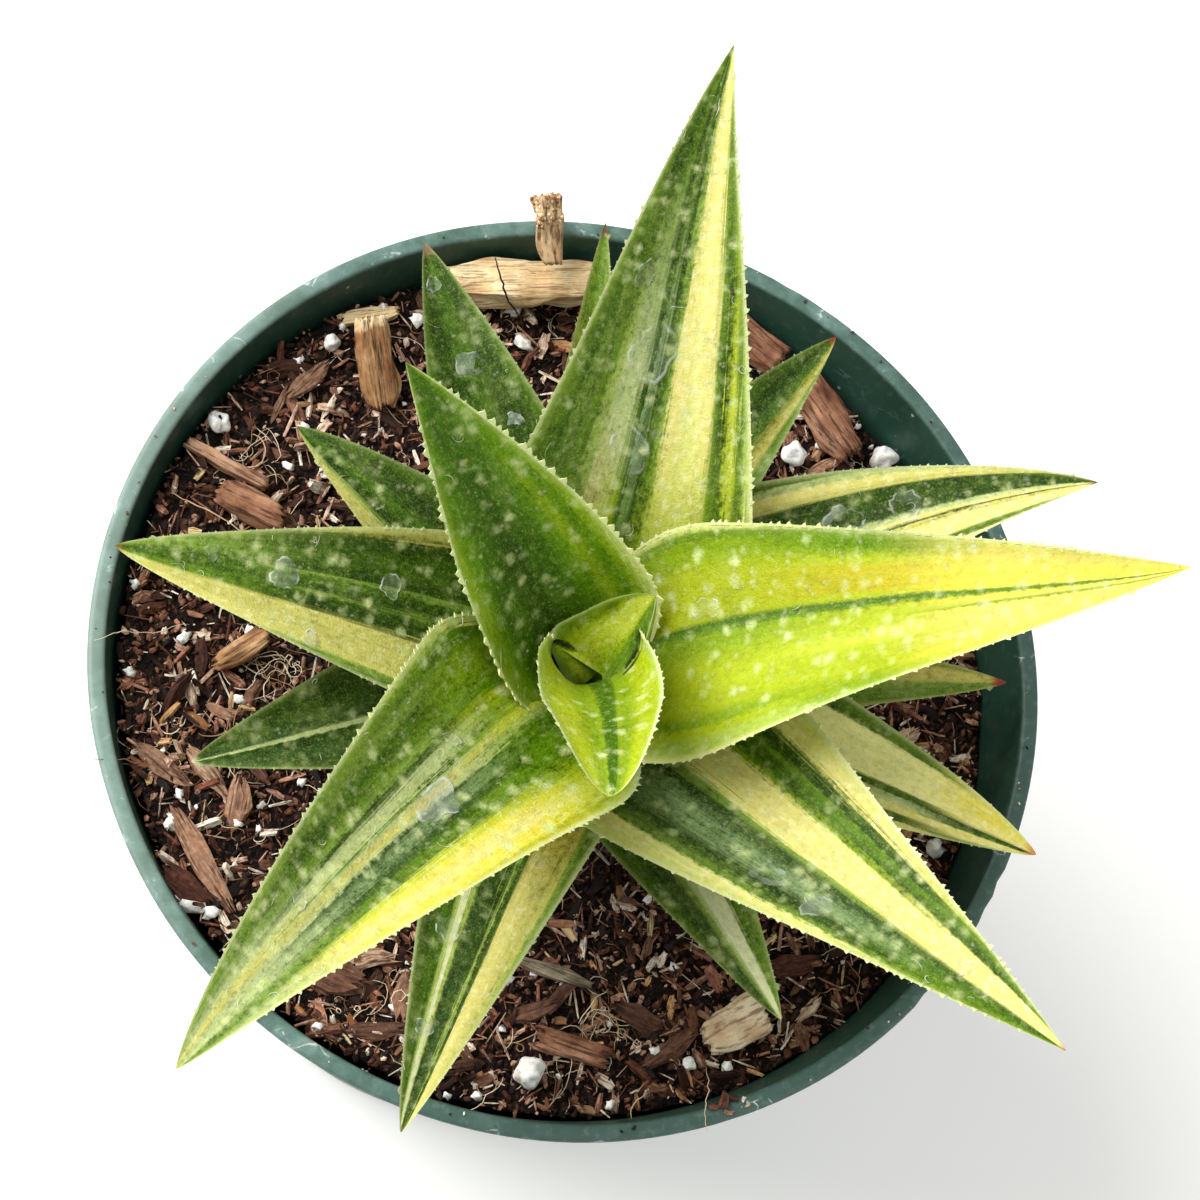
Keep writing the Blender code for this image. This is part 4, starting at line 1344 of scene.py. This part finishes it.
def leafTeeth(leaf, rng):
    # small horny teeth on both margins, leaning forward
    parts = []
    gap = leafBase["toothGap"]
    for edge in (-1, 1):
        s = leaf["long"] * 0.08
        while s < leaf["long"] * 0.94:
            t = s / leaf["long"]
            big = leaf["teeth"] * rng.uniform(0.35, 1.15) * min(1, (1 - t) / 0.25 + 0.25)
            s += gap * rng.uniform(0.65, 1.7)
            if big < 0.2 or rng.random() < 0.08:
                continue
            place, ahead, aside, out = (v[0] for v in frameOn(leaf, edge * 0.995, t))
            outward = aside * edge
            long = 0.42 * big
            foot = 0.40 * big
            deep = 0.10 * big
            lean = rng.uniform(0.25, 0.6)
            tip = outward * long + ahead * long * lean + out * rng.uniform(-0.05, 0.12)
            root = -outward * 0.18
            points = place + np.array([
                root - ahead * foot - out * deep,
                root + ahead * foot - out * deep,
                root + ahead * foot + out * deep,
                root - ahead * foot + out * deep,
                tip * 0.6 + ahead * foot * 0.15 + out * deep * 0.4,
                tip * 0.6 + ahead * foot * 0.15 - out * deep * 0.4,
                tip * 0.55 - ahead * foot * 0.55,
                tip,
            ])
            faces = [
                (0, 3, 2, 1), (3, 6, 4), (3, 4, 2), (0, 5, 6), (0, 1, 5), (0, 6, 3), (1, 2, 4), (1, 4, 5),
                (4, 7, 5), (4, 6, 7), (5, 7, 6),
            ]
            if edge < 0:
                faces = [tuple(reversed(f)) for f in faces]
            count = len(points)
            pale = np.array([0.05, 0.05, 0.05, 0.05, 0.3, 0.3, 0.3, 0.75])
            parts.append((points, faces, np.full(count, edge * 1.0), np.full(count, t), pale))
    return parts


def waterMark(leaf, rng, x, t, size, stretch, film=0.12, rim=0.62):
    # a dried film of water, bright along parts of its ragged rim, lying on the leaf
    half = float(halfWidth(leaf, np.array([t]))[0])
    count = 26
    seed = rng.random() * 50
    points = []
    px = []
    pt = []
    # each ring's share of the size and its lift
    rings = ((0.0, 0.05), (0.55, 0.05), (0.86, 0.06), (0.93, 0.13), (1.0, 0.10), (1.05, -0.04))
    pale = []
    shades = (film, film, film, rim, rim * 0.8, 0.0)
    for (share, lift), shade in zip(rings, shades):
        for i in range(count if share else 1):
            a = math.tau * i / count
            wobble = 1 + 0.6 * noiseAt(*onCircle(0.9, a), seed)
            wobble += 0.3 * noiseAt(*onCircle(2.7, a), seed + 4)
            across = share * size * wobble * math.cos(a)
            along = share * size * stretch * wobble * math.sin(a)
            px.append(within(x + across / half, -0.985, 0.985))
            pt.append(within(t + along / leaf["long"], 0.01, 0.985))
            gaps = noiseAt(*onCircle(1.3, a), seed + 9)
            broken = within(0.35 + 2.4 * gaps, 0.05, 1)
            pale.append(shade * (broken if shade > film else 0.4 + 0.6 * broken))
            points.append(lift if share < 0.9 else lift * broken)
    spots, _, _, normals = frameOn(leaf, np.array(px), np.array(pt))
    points = spots + normals * np.array(points)[:, None]
    faces = [(0, 1 + (i + 1) % count, 1 + i) for i in range(count)]
    for ring in range(len(rings) - 2):
        low = 1 + ring * count
        for i in range(count):
            j = (i + 1) % count
            faces.append((low + i, low + j, low + count + j, low + count + i))
    faces = [tuple(reversed(f)) for f in faces]
    last = 1 + (len(rings) - 2) * count
    faces.append(tuple(last + i for i in range(count)))
    return points, faces, np.array(px), np.array(pt), np.zeros(len(pale)), np.array(pale)


def leafSkin(number, leaf):
    made, tree, shader = newFinish(f"leafSkin{number:02d}", 0.4, 0.15)
    strip = addNode(tree, "ShaderNodeUVMap", {"uv_map": "strips"}).outputs[0]
    skin = addNode(tree, "ShaderNodeUVMap", {"uv_map": "skin"}).outputs[0]
    split = addNode(tree, "ShaderNodeSeparateXYZ", None, {0: strip})
    across = split.outputs["X"]
    along = split.outputs["Y"]
    # every leaf has its own part of the patterns
    moved = vectorCalc(tree, "ADD", strip, (number * 3.7, number * 1.9, 0))[0]
    lines = leaf["lines"]
    wander = noiseOf(tree, moved, (5, 1.6, 1), 2.0)
    streak = noiseOf(tree, moved, (34, 2.0, 1), 3.0, 0.55)
    fine = noiseOf(tree, moved, (110, 5, 1), 3.0, 0.6)
    weave = noiseOf(tree, moved, (20, 1.7, 1), 3.0, 0.6)
    mottle = noiseOf(tree, skin, (30, 20, 1), 5.0, 0.65)
    grains = noiseOf(tree, skin, (190, 120, 1), 4.0, 0.7)
    pores = noiseOf(tree, skin, (420, 420, 1), 3.0, 0.65)
    shifted = timesPlus(tree, calc(tree, "POWER", along, 3.0), -leaf["veer"], across)
    for pattern, share in ((wander, 0.055), (streak, 0.05 * lines), (grains, 0.055)):
        shifted = swing(tree, pattern, share, shifted)
    # soft lines of the neighbouring stripes run through each stripe
    strayed = smoothStep(tree, fine, 0.42, 0.66, 0.0, 0.22 * lines)
    shifted = swing(tree, weave, strayed, shifted)
    colour = colourRamp(tree, shifted, leaf["stripes"], "EASE", palette)
    if "base" in leaf:
        near = smoothStep(tree, timesPlus(tree, streak, 0.12, along), *leaf["baseChange"])
        colour = blendColour(tree, near, colourRamp(tree, shifted, leaf["base"], "EASE", palette), colour)
    if "tip" in leaf:
        far = smoothStep(tree, timesPlus(tree, streak, 0.16, along), *leaf["change"])
        colour = blendColour(tree, far, colour, colourRamp(tree, shifted, leaf["tip"], "EASE", palette))
    # darker lines, bands and mottles, which stay faint on the pale stripes
    shade = smoothStep(tree, fine, 0.32, 0.55, 0.16 * lines, 0.0)
    bands = noiseOf(tree, moved, (15, 1.1, 1), 2.0)
    for pattern, low, high, most in (
        (bands, 0.36, 0.52, 0.20 * lines), (mottle, 0.35, 0.5, 0.34), (grains, 0.36, 0.52, 0.42),
        (pores, 0.30, 0.5, 0.24),
    ):
        shade = plus(tree, shade, smoothStep(tree, pattern, low, high, most, 0.0))
    light = addNode(tree, "ShaderNodeSeparateColor", None, {0: colour}).outputs["Green"]
    fleck = leaf["fleck"]
    shade = times(tree, shade, smoothStep(tree, light, 0.35, 0.72, fleck, 0.35 * fleck))
    colour = tint(tree, colour, shade, "#557022", "MULTIPLY")
    for pattern, low, high, most, text in (
        (mottle, 0.50, 0.72, 0.16, "#a9bf5c"), (grains, 0.52, 0.70, 0.26, "#b6c968"),
        (pores, 0.52, 0.75, 0.24, "#d2de86"),
    ):
        colour = tint(tree, colour, smoothStep(tree, pattern, low, high, 0.0, most), text)
    # the pale stripes are curdled: small ivory grains in a greener yellow
    light = smoothStep(tree, light, 0.38, 0.66, 0.0, 1.0)
    curd = noiseOf(tree, skin, (130, 85, 1), 4.0, 0.65)
    low = times(tree, smoothStep(tree, curd, 0.34, 0.50, 0.42, 0.0), light)
    colour = tint(tree, colour, low, leaf["curd"])
    high = times(tree, smoothStep(tree, curd, 0.50, 0.64, 0.0, 0.55), light)
    colour = tint(tree, colour, high, leaf["grain"])
    # soft ragged blotches, thicker in cross rows
    cells = raggedCells(tree, skin, 90.0, 3.0, (0.009, 0.009, 0), 56.0)
    chance = addNode(tree, "ShaderNodeSeparateXYZ", None, {0: cells.outputs["Color"]})
    rows = noiseOf(tree, skin, (14, 42, 1), 2.0)
    spread = swing(tree, rows, -0.9, times(tree, chance.outputs[0], 0.22))
    spot = smoothStep(tree, plus(tree, cells.outputs["Distance"], spread), -0.10, 0.55, 1.0, 0.0)
    spot = times(tree, spot, smoothStep(tree, grains, 0.34, 0.60, 0.55, 1.0))
    strength = timesPlus(tree, chance.outputs[1], 0.45, 0.55)
    strength = times(tree, strength, min(leaf["warts"], 1.2) * 1.25)
    colour = tint(tree, colour, times(tree, spot, strength), "#d3de9c")
    rim = leaf["rim"]
    edge = swing(tree, grains, 1.1, pointValue(tree, "edge"))
    colour = tint(tree, colour, smoothStep(tree, edge, 0.3, 1.9, rim * 0.7, 0.0), "#a4bc46")
    colour = tint(tree, colour, smoothStep(tree, edge, 0.05, 0.8, min(rim * 1.6, 0.8), 0.0), "#dfe6b0")
    stain = swing(tree, streak, 0.05, along)
    stained = smoothStep(tree, stain, leaf["stained"], min(leaf["stained"] + 0.03, 1.0))
    colour = tint(tree, colour, stained, leaf["stain"])
    colour = tint(tree, colour, times(tree, pointValue(tree, "pale"), 0.92), "#dfe7b2")
    colour = tint(tree, colour, pointValue(tree, "film"), "#d3ddd0")
    if number <= heartShade["leaves"]:
        hollow = smoothStep(tree, pointValue(tree, "hollow"), *heartShade["range"])
        colour = tint(tree, colour, hollow, "#101a04")
    tree.links.new(colour, shader.inputs["Base Color"])
    rough = timesPlus(tree, mottle, 0.22, 0.26)
    tree.links.new(rough, shader.inputs["Roughness"])
    height = timesPlus(tree, streak, 0.5 * lines, times(tree, pores, 0.9))
    addBump(tree, shader, timesPlus(tree, spot, 0.5, height), 0.5, 0.0003)
    shader.inputs["Subsurface Weight"].default_value = 0.10
    shader.inputs["Subsurface Radius"].default_value = (0.7, 1.0, 0.25)
    shader.inputs["Subsurface Scale"].default_value = 0.0012
    return made


# the first five leaves are dark in the clefts of the heart
heartShade = {"leaves": 5, "rays": 22, "reach": 0.6, "range": (0.40, 0.95), "within": 20, "smoothing": 2}

# for each leaf: place across and along, size, length to width and, for some, how pale film and rim are
waterMarks = {
    7: [
        (0.1, 0.33, 2.2, 1.25), (0.22, 0.1, 1.2, 1.0), (0.5, 0.62, 0.9, 1.6),
        (0.12, 0.5, 2.4, 1.2, 0.05, 0.5),
    ],
    6: [
        (0.04, 0.44, 2.0, 1.5, 0.34, 0.9), (0.45, 0.62, 0.9, 1.2), (-0.3, 0.32, 1.1, 0.8),
        (-0.35, 0.72, 1.2, 0.7),
    ],
    5: [(0.35, 0.2, 1.1, 1.5), (0.5, 0.27, 0.7, 0.8)],
    8: [(-0.45, 0.47, 1.3, 1.6, 0.25, 0.5), (-0.5, 0.56, 1.5, 1.1, 0.2, 0.45), (0.1, 0.8, 0.9, 0.9)],
    9: [
        (-0.2, 0.64, 1.5, 1.0, 0.2, 0.8), (0.75, 0.57, 1.0, 1.1, 0.3, 0.9), (-0.5, 0.8, 0.9, 1.2),
        (-0.3, 0.4, 1.3, 0.9),
    ],
    10: [(0.3, 0.52, 1.7, 1.2, 0.3, 0.95), (0.25, 0.63, 1.7, 1.0, 0.1, 0.6), (-0.5, 0.6, 0.8, 0.9)],
    11: [(-0.45, 0.6, 1.6, 0.9, 0.1, 0.9), (0.5, 0.4, 1.0, 0.8), (-0.4, 0.8, 0.9, 0.8, 0.2, 0.7)],
    12: [
        (-0.1, 0.68, 1.6, 0.9, 0.28, 0.5), (-0.5, 0.52, 0.8, 0.9, 0.5, 0.9), (0.3, 0.9, 0.8, 1.2, 0.2, 0.8),
    ],
    14: [(-0.2, 0.4, 0.8, 0.8)],
}


def buildLeaf(number):
    leaf = layLeaf(number)
    leaf.setdefault("teeth", 1.0 if number < 9 else 0.62)
    rng = random.Random(number * 17)
    parts = [leafBody(leaf)]
    parts += leafWarts(leaf, rng)
    parts += leafWarts(leaf, rng, True)
    parts += leafTeeth(leaf, rng)
    for x, t, size, stretch, *shades in waterMarks.get(number, ()):
        parts.append(waterMark(leaf, rng, x, t, size, stretch, *shades))
    x = np.concatenate([p[2] for p in parts])
    t = np.concatenate([p[3] for p in parts])
    film = np.concatenate([p[5] if len(p) > 5 else np.zeros(len(p[0])) for p in parts])
    pale = np.concatenate([p[4] for p in parts])
    made = meshObject(
        f"leafBlade{number:02d}", np.concatenate([p[0] for p in parts]), joinFaces(parts),
        leafSkin(number, leaf),
        floats={"pale": pale, "edge": edgeGap(leaf, x, t), "hollow": 0 * x, "film": film},
        uvs={"strips": stripPlace(leaf, x, t), "skin": skinPlace(leaf, x, t)},
    )
    made.data.set_sharp_from_angle(angle=math.radians(58))
    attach(made, "root")
    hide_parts(f"leaf_{number:02d}")
    return made


def shadeHeart(blades):
    # each point's share of short rays that meet a blade: dark clefts where the young leaves press together
    rng = random.Random(3)
    heart = Vector(leafBase["stemTop"])
    for blade in blades:
        corners = []
        polygons = []
        for other in blades:
            start = len(corners)
            corners += [v.co.copy() for v in other.data.vertices if other is not blade]
            polygons += [[start + v for v in p.vertices] for p in other.data.polygons if other is not blade]
        tree = BVHTree.FromPolygons(corners, polygons)
        hollow = np.zeros(len(blade.data.vertices))
        for vert in blade.data.vertices:
            if (vert.co / mm - heart).length > heartShade["within"]:
                continue
            met = 0
            for _ in range(heartShade["rays"]):
                ray = Vector([rng.gauss(0, 1) for _ in range(3)]).normalized() + vert.normal
                start = vert.co + vert.normal * 0.06 * mm
                met += tree.ray_cast(start, ray.normalized(), heartShade["reach"] * mm)[0] is not None
            hollow[vert.index] = met / heartShade["rays"]
        ends = np.array([tuple(e.vertices) for e in blade.data.edges])
        count = np.bincount(ends.ravel(), minlength=len(hollow)) + 1
        for _ in range(heartShade["smoothing"]):
            total = hollow + np.bincount(ends[:, 0], hollow[ends[:, 1]], len(hollow))
            hollow = (total + np.bincount(ends[:, 1], hollow[ends[:, 0]], len(hollow))) / count
        blade.data.attributes["hollow"].data.foreach_set("value", hollow)


blades = {number: buildLeaf(number) for number in sorted(leaves, reverse=True)}
shadeHeart([blades[number] for number in range(1, heartShade["leaves"] + 1)])
print("leaves ready", sum(len(blade.data.polygons) for blade in blades.values()))


# pale lint and loose fibres on the leaves

lint = {"thick": 0.024, "steps": 7}
lintOn = {4: 7, 5: 7, 6: 24, 7: 26, 8: 15, 9: 10, 10: 8, 11: 8, 12: 7, 13: 4, 14: 6, 16: 4, 17: 3}


def lintHair(leaf, rng):
    x = rng.uniform(-0.85, 0.85) if rng.random() < 0.5 else rng.choice((-1, 1)) * rng.uniform(0.75, 0.95)
    t = rng.uniform(0.12, 0.92)
    heading = rng.uniform(0, math.tau)
    turnRate = rng.gauss(0, 0.45)
    step = rng.uniform(0.5, 2.8) / lint["steps"]
    xs = []
    ts = []
    for _ in range(lint["steps"]):
        xs.append(within(x, -0.97, 0.97))
        ts.append(within(t, 0.03, 0.97))
        half = float(halfWidth(leaf, np.array([ts[-1]]))[0])
        x += step * math.cos(heading) / half
        t += step * math.sin(heading) / leaf["long"]
        heading += turnRate + rng.gauss(0, 0.2)
    place, _, _, out = frameOn(leaf, np.array(xs), np.array(ts))
    lift = 0.07 + rng.uniform(0, 0.25) * np.sin(np.linspace(0, math.pi, len(xs)))
    return tubeRound(place + out * lift[:, None], lint["thick"] * rng.uniform(0.6, 1.3), 4, 0.5)


def lintFinish():
    made, tree, shader = newFinish("lintWhite", 0.5, 0.3)
    place = objectPlace(tree)
    patchy = noiseOf(tree, place, 900, 2.0)
    colour = colourRamp(tree, patchy, "30 #b9bf9a, 60 #eef0e2")
    tree.links.new(colour, shader.inputs["Base Color"])
    return made


rng = random.Random(77)
lintParts = [lintHair(leaves[number], rng) for number, count in lintOn.items() for _ in range(count)]
leafLint = joinParts("leafLint", lintParts, lintFinish(), [0.9] * len(lintParts))
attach(leafLint, "root")


# the stem between the leaf bases

def stemFinish():
    made, tree, shader = newFinish("stemTissue", 0.6, 0.35)
    place = objectPlace(tree)
    patchy = noiseOf(tree, place, (260, 260, 900), 4.0, 0.6)
    colour = colourRamp(tree, patchy, "30 #6d6a38, 50 #97a05a, 70 #bfc07e")
    tree.links.new(colour, shader.inputs["Base Color"])
    addBump(tree, shader, patchy, 0.4, 0.0004)
    return made


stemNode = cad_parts["stem"]
stemNode.data.materials.clear()
stemNode.data.materials.append(stemFinish())


# pieces of bark and wood lying on the mix

chipSlope = -math.atan(mix["slope"])
usualChip = dict(lift=0, tilt=0, cuts=14, crumbly=0)
chips = {
    "wood_block": dict(x=-5.9, y=47.2, lift=1.0, long=17.6, wide=4.9, tall=4, turn=6, cuts=22,
        ragged=0.10, look="wood",
    ),
    "wood_stick": dict(x=-3.5, y=51.3, lift=8.4, long=7.6, wide=3.3, tall=2.0, turn=102, tilt=32,
        cuts=16, ragged=0.14, look="stick", crumbly=230,
    ),
    "bark_flake_back": dict(x=-22.7, y=36, lift=1.5, long=10, wide=4.0, tall=1.4, turn=103, tilt=20,
        cuts=18, ragged=0.16, look="gold", paleEnd=0.42, kind=31,
    ),
    "bark_wedge_left": dict(x=-36.5, y=17.5, long=7.6, wide=3.4, tall=2.6, turn=-21, ragged=0.25,
        look="brown",
    ),
    "bark_reed_left": dict(x=-39.5, y=22.5, lift=0.4, long=10, wide=1.5, tall=1.2, turn=-26, ragged=0.1,
        look="tan",
    ),
    "bark_chip_back": dict(x=-23.6, y=42.4, long=6.6, wide=2, tall=1.4, turn=16, cuts=12, ragged=0.2,
        look="wood",
    ),
    "bark_chip_left": dict(x=-37, y=0.7, lift=0.3, long=6.4, wide=2.4, tall=1.5, turn=34, tilt=8,
        ragged=0.3, look="gold",
    ),
    "bark_slab_right": dict(x=22.6, y=42.4, lift=1.2, long=7, wide=3.8, tall=2.6, turn=-36, ragged=0.22,
        look="brown",
    ),
    "bark_slab_low": dict(x=31, y=34.6, lift=0.4, long=12, wide=4.4, tall=2.8, turn=-56, cuts=16,
        ragged=0.14, look="brown",
    ),
    "wood_flake_front": dict(x=19.5, y=-39.5, long=7.2, wide=5, tall=1.0, turn=29, tilt=6, ragged=0.3,
        look="pale", kind=17,
    ),
    "bark_chip_front": dict(x=0.8, y=-42.7, long=7, wide=2.5, tall=1.4, turn=-17, ragged=0.5,
        look="brown",
    ),
    "bark_splinter_front": dict(x=-1, y=-34.5, lift=0.4, long=8.3, wide=1.5, tall=1.2, turn=-18,
        ragged=0.15, look="grey",
    ),
}
chips = {name: {**usualChip, **chip} for name, chip in chips.items()}
# each look's finish, its tones from dark to pale, roughness, grain and fleck
chipLooks = {
    "wood": (
        "paleWood", "0 #b18a5e, 30 #dcc093, 60 #efdcb4, 100 #fbf2da", 0.7, (0.14, 4.6, 4.6), "#94683f",
    ),
    "stick": (
        "stickWood", "0 #7a5a3e, 30 #b08f6a, 60 #d6bb94, 100 #f3e4c6", 0.8, (0.5, 2.0, 2.0), "#4c2d19",
    ),
    "brown": (
        "brownBark", "0 #43281c, 30 #774f3a, 60 #a47a5f, 100 #d2ae92", 0.85, (0.22, 2.8, 2.8), "#2a160e",
    ),
    "tan": ("tanBark", "0 #6b4834, 30 #a07a60, 60 #c6a386, 100 #e8d0b4", 0.8, (0.2, 3.0, 3.0), "#432719"),
    "pale": (
        "paleFlake", "0 #a88a68, 30 #d2bb98, 60 #e9dabd, 100 #f6efdc", 0.75, (0.4, 1.8, 1.8), "#86654a",
    ),
    "gold": (
        "goldenBark", "0 #4c2f1c, 30 #865f3d, 60 #b08a60, 100 #e2cba6", 0.8, (0.22, 2.6, 2.6), "#38200f",
    ),
    "grey": ("greyBark", "0 #3b3328, 30 #6d6350, 60 #99907a, 100 #c9c2aa", 0.8, (0.3, 3, 3), "#221c14"),
}
chipLooks = {
    look: barkFinish(name, tones, rough, 0.3, grain, fleck)
    for look, (name, tones, rough, grain, fleck) in chipLooks.items()
}


def buildChip(number, name, chip):
    # a split block, furrowed along its grain, with torn ends and an uneven outline
    points, faces = cutBlock(chip["cuts"])
    long, wide, tall = chip["long"], chip["wide"], chip["tall"]
    kind = chip.get("kind", number)

    def furrow(a, b, c):
        return noise.noise(Vector((a, b, c)) + Vector((kind * 9.1, 0, 0)))

    shaped = []
    for x, y, z in points:
        # rounds the block, then works in millimetres
        square = max(abs(y), abs(z)) * 2
        corner = math.hypot(y, z) * 2 / max(square, 1e-6)
        soften = 1 - 0.35 * (1 - 1 / max(corner, 1)) * square
        px, py, pz = x * long, y * wide * soften, z * tall * soften
        slow = furrow(px * 0.22, py * 0.5, pz * 0.5)
        bend = furrow(px * 0.25, py * 0.4, pz * 0.5 + 7)
        groove = furrow(px * 0.18, py * 1.9, pz * 1.9)
        fine = furrow(px * 0.5, py * 5.0, pz * 5.0)
        tear = furrow(math.copysign(3, x), py * 1.6, pz * 1.6)
        torn = furrow(math.copysign(6, x), py * 5, pz * 5)
        away = 1 + square * (0.16 * groove + 0.07 * fine) / max(min(wide, tall) * 0.4, 0.5)
        px *= 1 + chip["ragged"] * (tear + 0.5 * torn) * (abs(x) * 2) ** 2
        narrow = 1 - 0.42 * (abs(x) * 2) ** 2.5 * (0.5 + 0.5 * math.sin(kind * 2.3 + (2 if x > 0 else 0)))
        py = py * away * narrow + slow * wide * 0.2
        pz = pz * away + bend * tall * 0.16
        shaped.append((px, py, pz))
    shaped = np.array(shaped)
    body = len(shaped)
    rng = random.Random(number)
    for _ in range(chip["crumbly"]):
        # loose grains cling to the broken end
        ball, ballFaces = crumbShapes[rng.randrange(len(crumbShapes))]
        end = rng.choice([v for v in shaped[:body] if v[0] > long * 0.08])
        start = len(shaped)
        shaped = np.concatenate([shaped, ball * rng.uniform(0.3, 0.75) + end])
        faces = faces + [tuple(v + start for v in face) for face in ballFaces]
    grain = shaped + np.array((number * 11.0, number * 5.0, number * 7.0))
    level = mixHeight(chip["x"], chip["y"])
    lean = Matrix.Rotation(chipSlope, 3, "Y") @ Matrix.Rotation(math.radians(chip["turn"]), 3, "Z")
    turned = np.array(lean @ Matrix.Rotation(math.radians(-chip["tilt"]), 3, "Y"))
    place = np.array((chip["x"], chip["y"], level + 0.7 + tall / 2 + chip["lift"]))
    tone = 0.5 + 0.4 * np.array([noise.noise(Vector(p) * 0.4) for p in grain])
    if "paleEnd" in chip:
        tone += 0.6 * (shaped[:, 0] + 0.25 * shaped[:, 1] > long * chip["paleEnd"])
    tone[body:] += 0.3 * np.sin(np.arange(len(tone) - body) * 0.37)
    chipPiece = meshObject(
        name.replace("_", "") + "Piece", shaped @ turned.T + place, faces, chipLooks[chip["look"]],
        floats={"tone": tone}, vectors={"grain": grain},
    )
    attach(chipPiece, "root")
    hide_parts(name)


for number, (name, chip) in enumerate(chips.items()):
    buildChip(number, name, chip)
print("bark and wood ready")
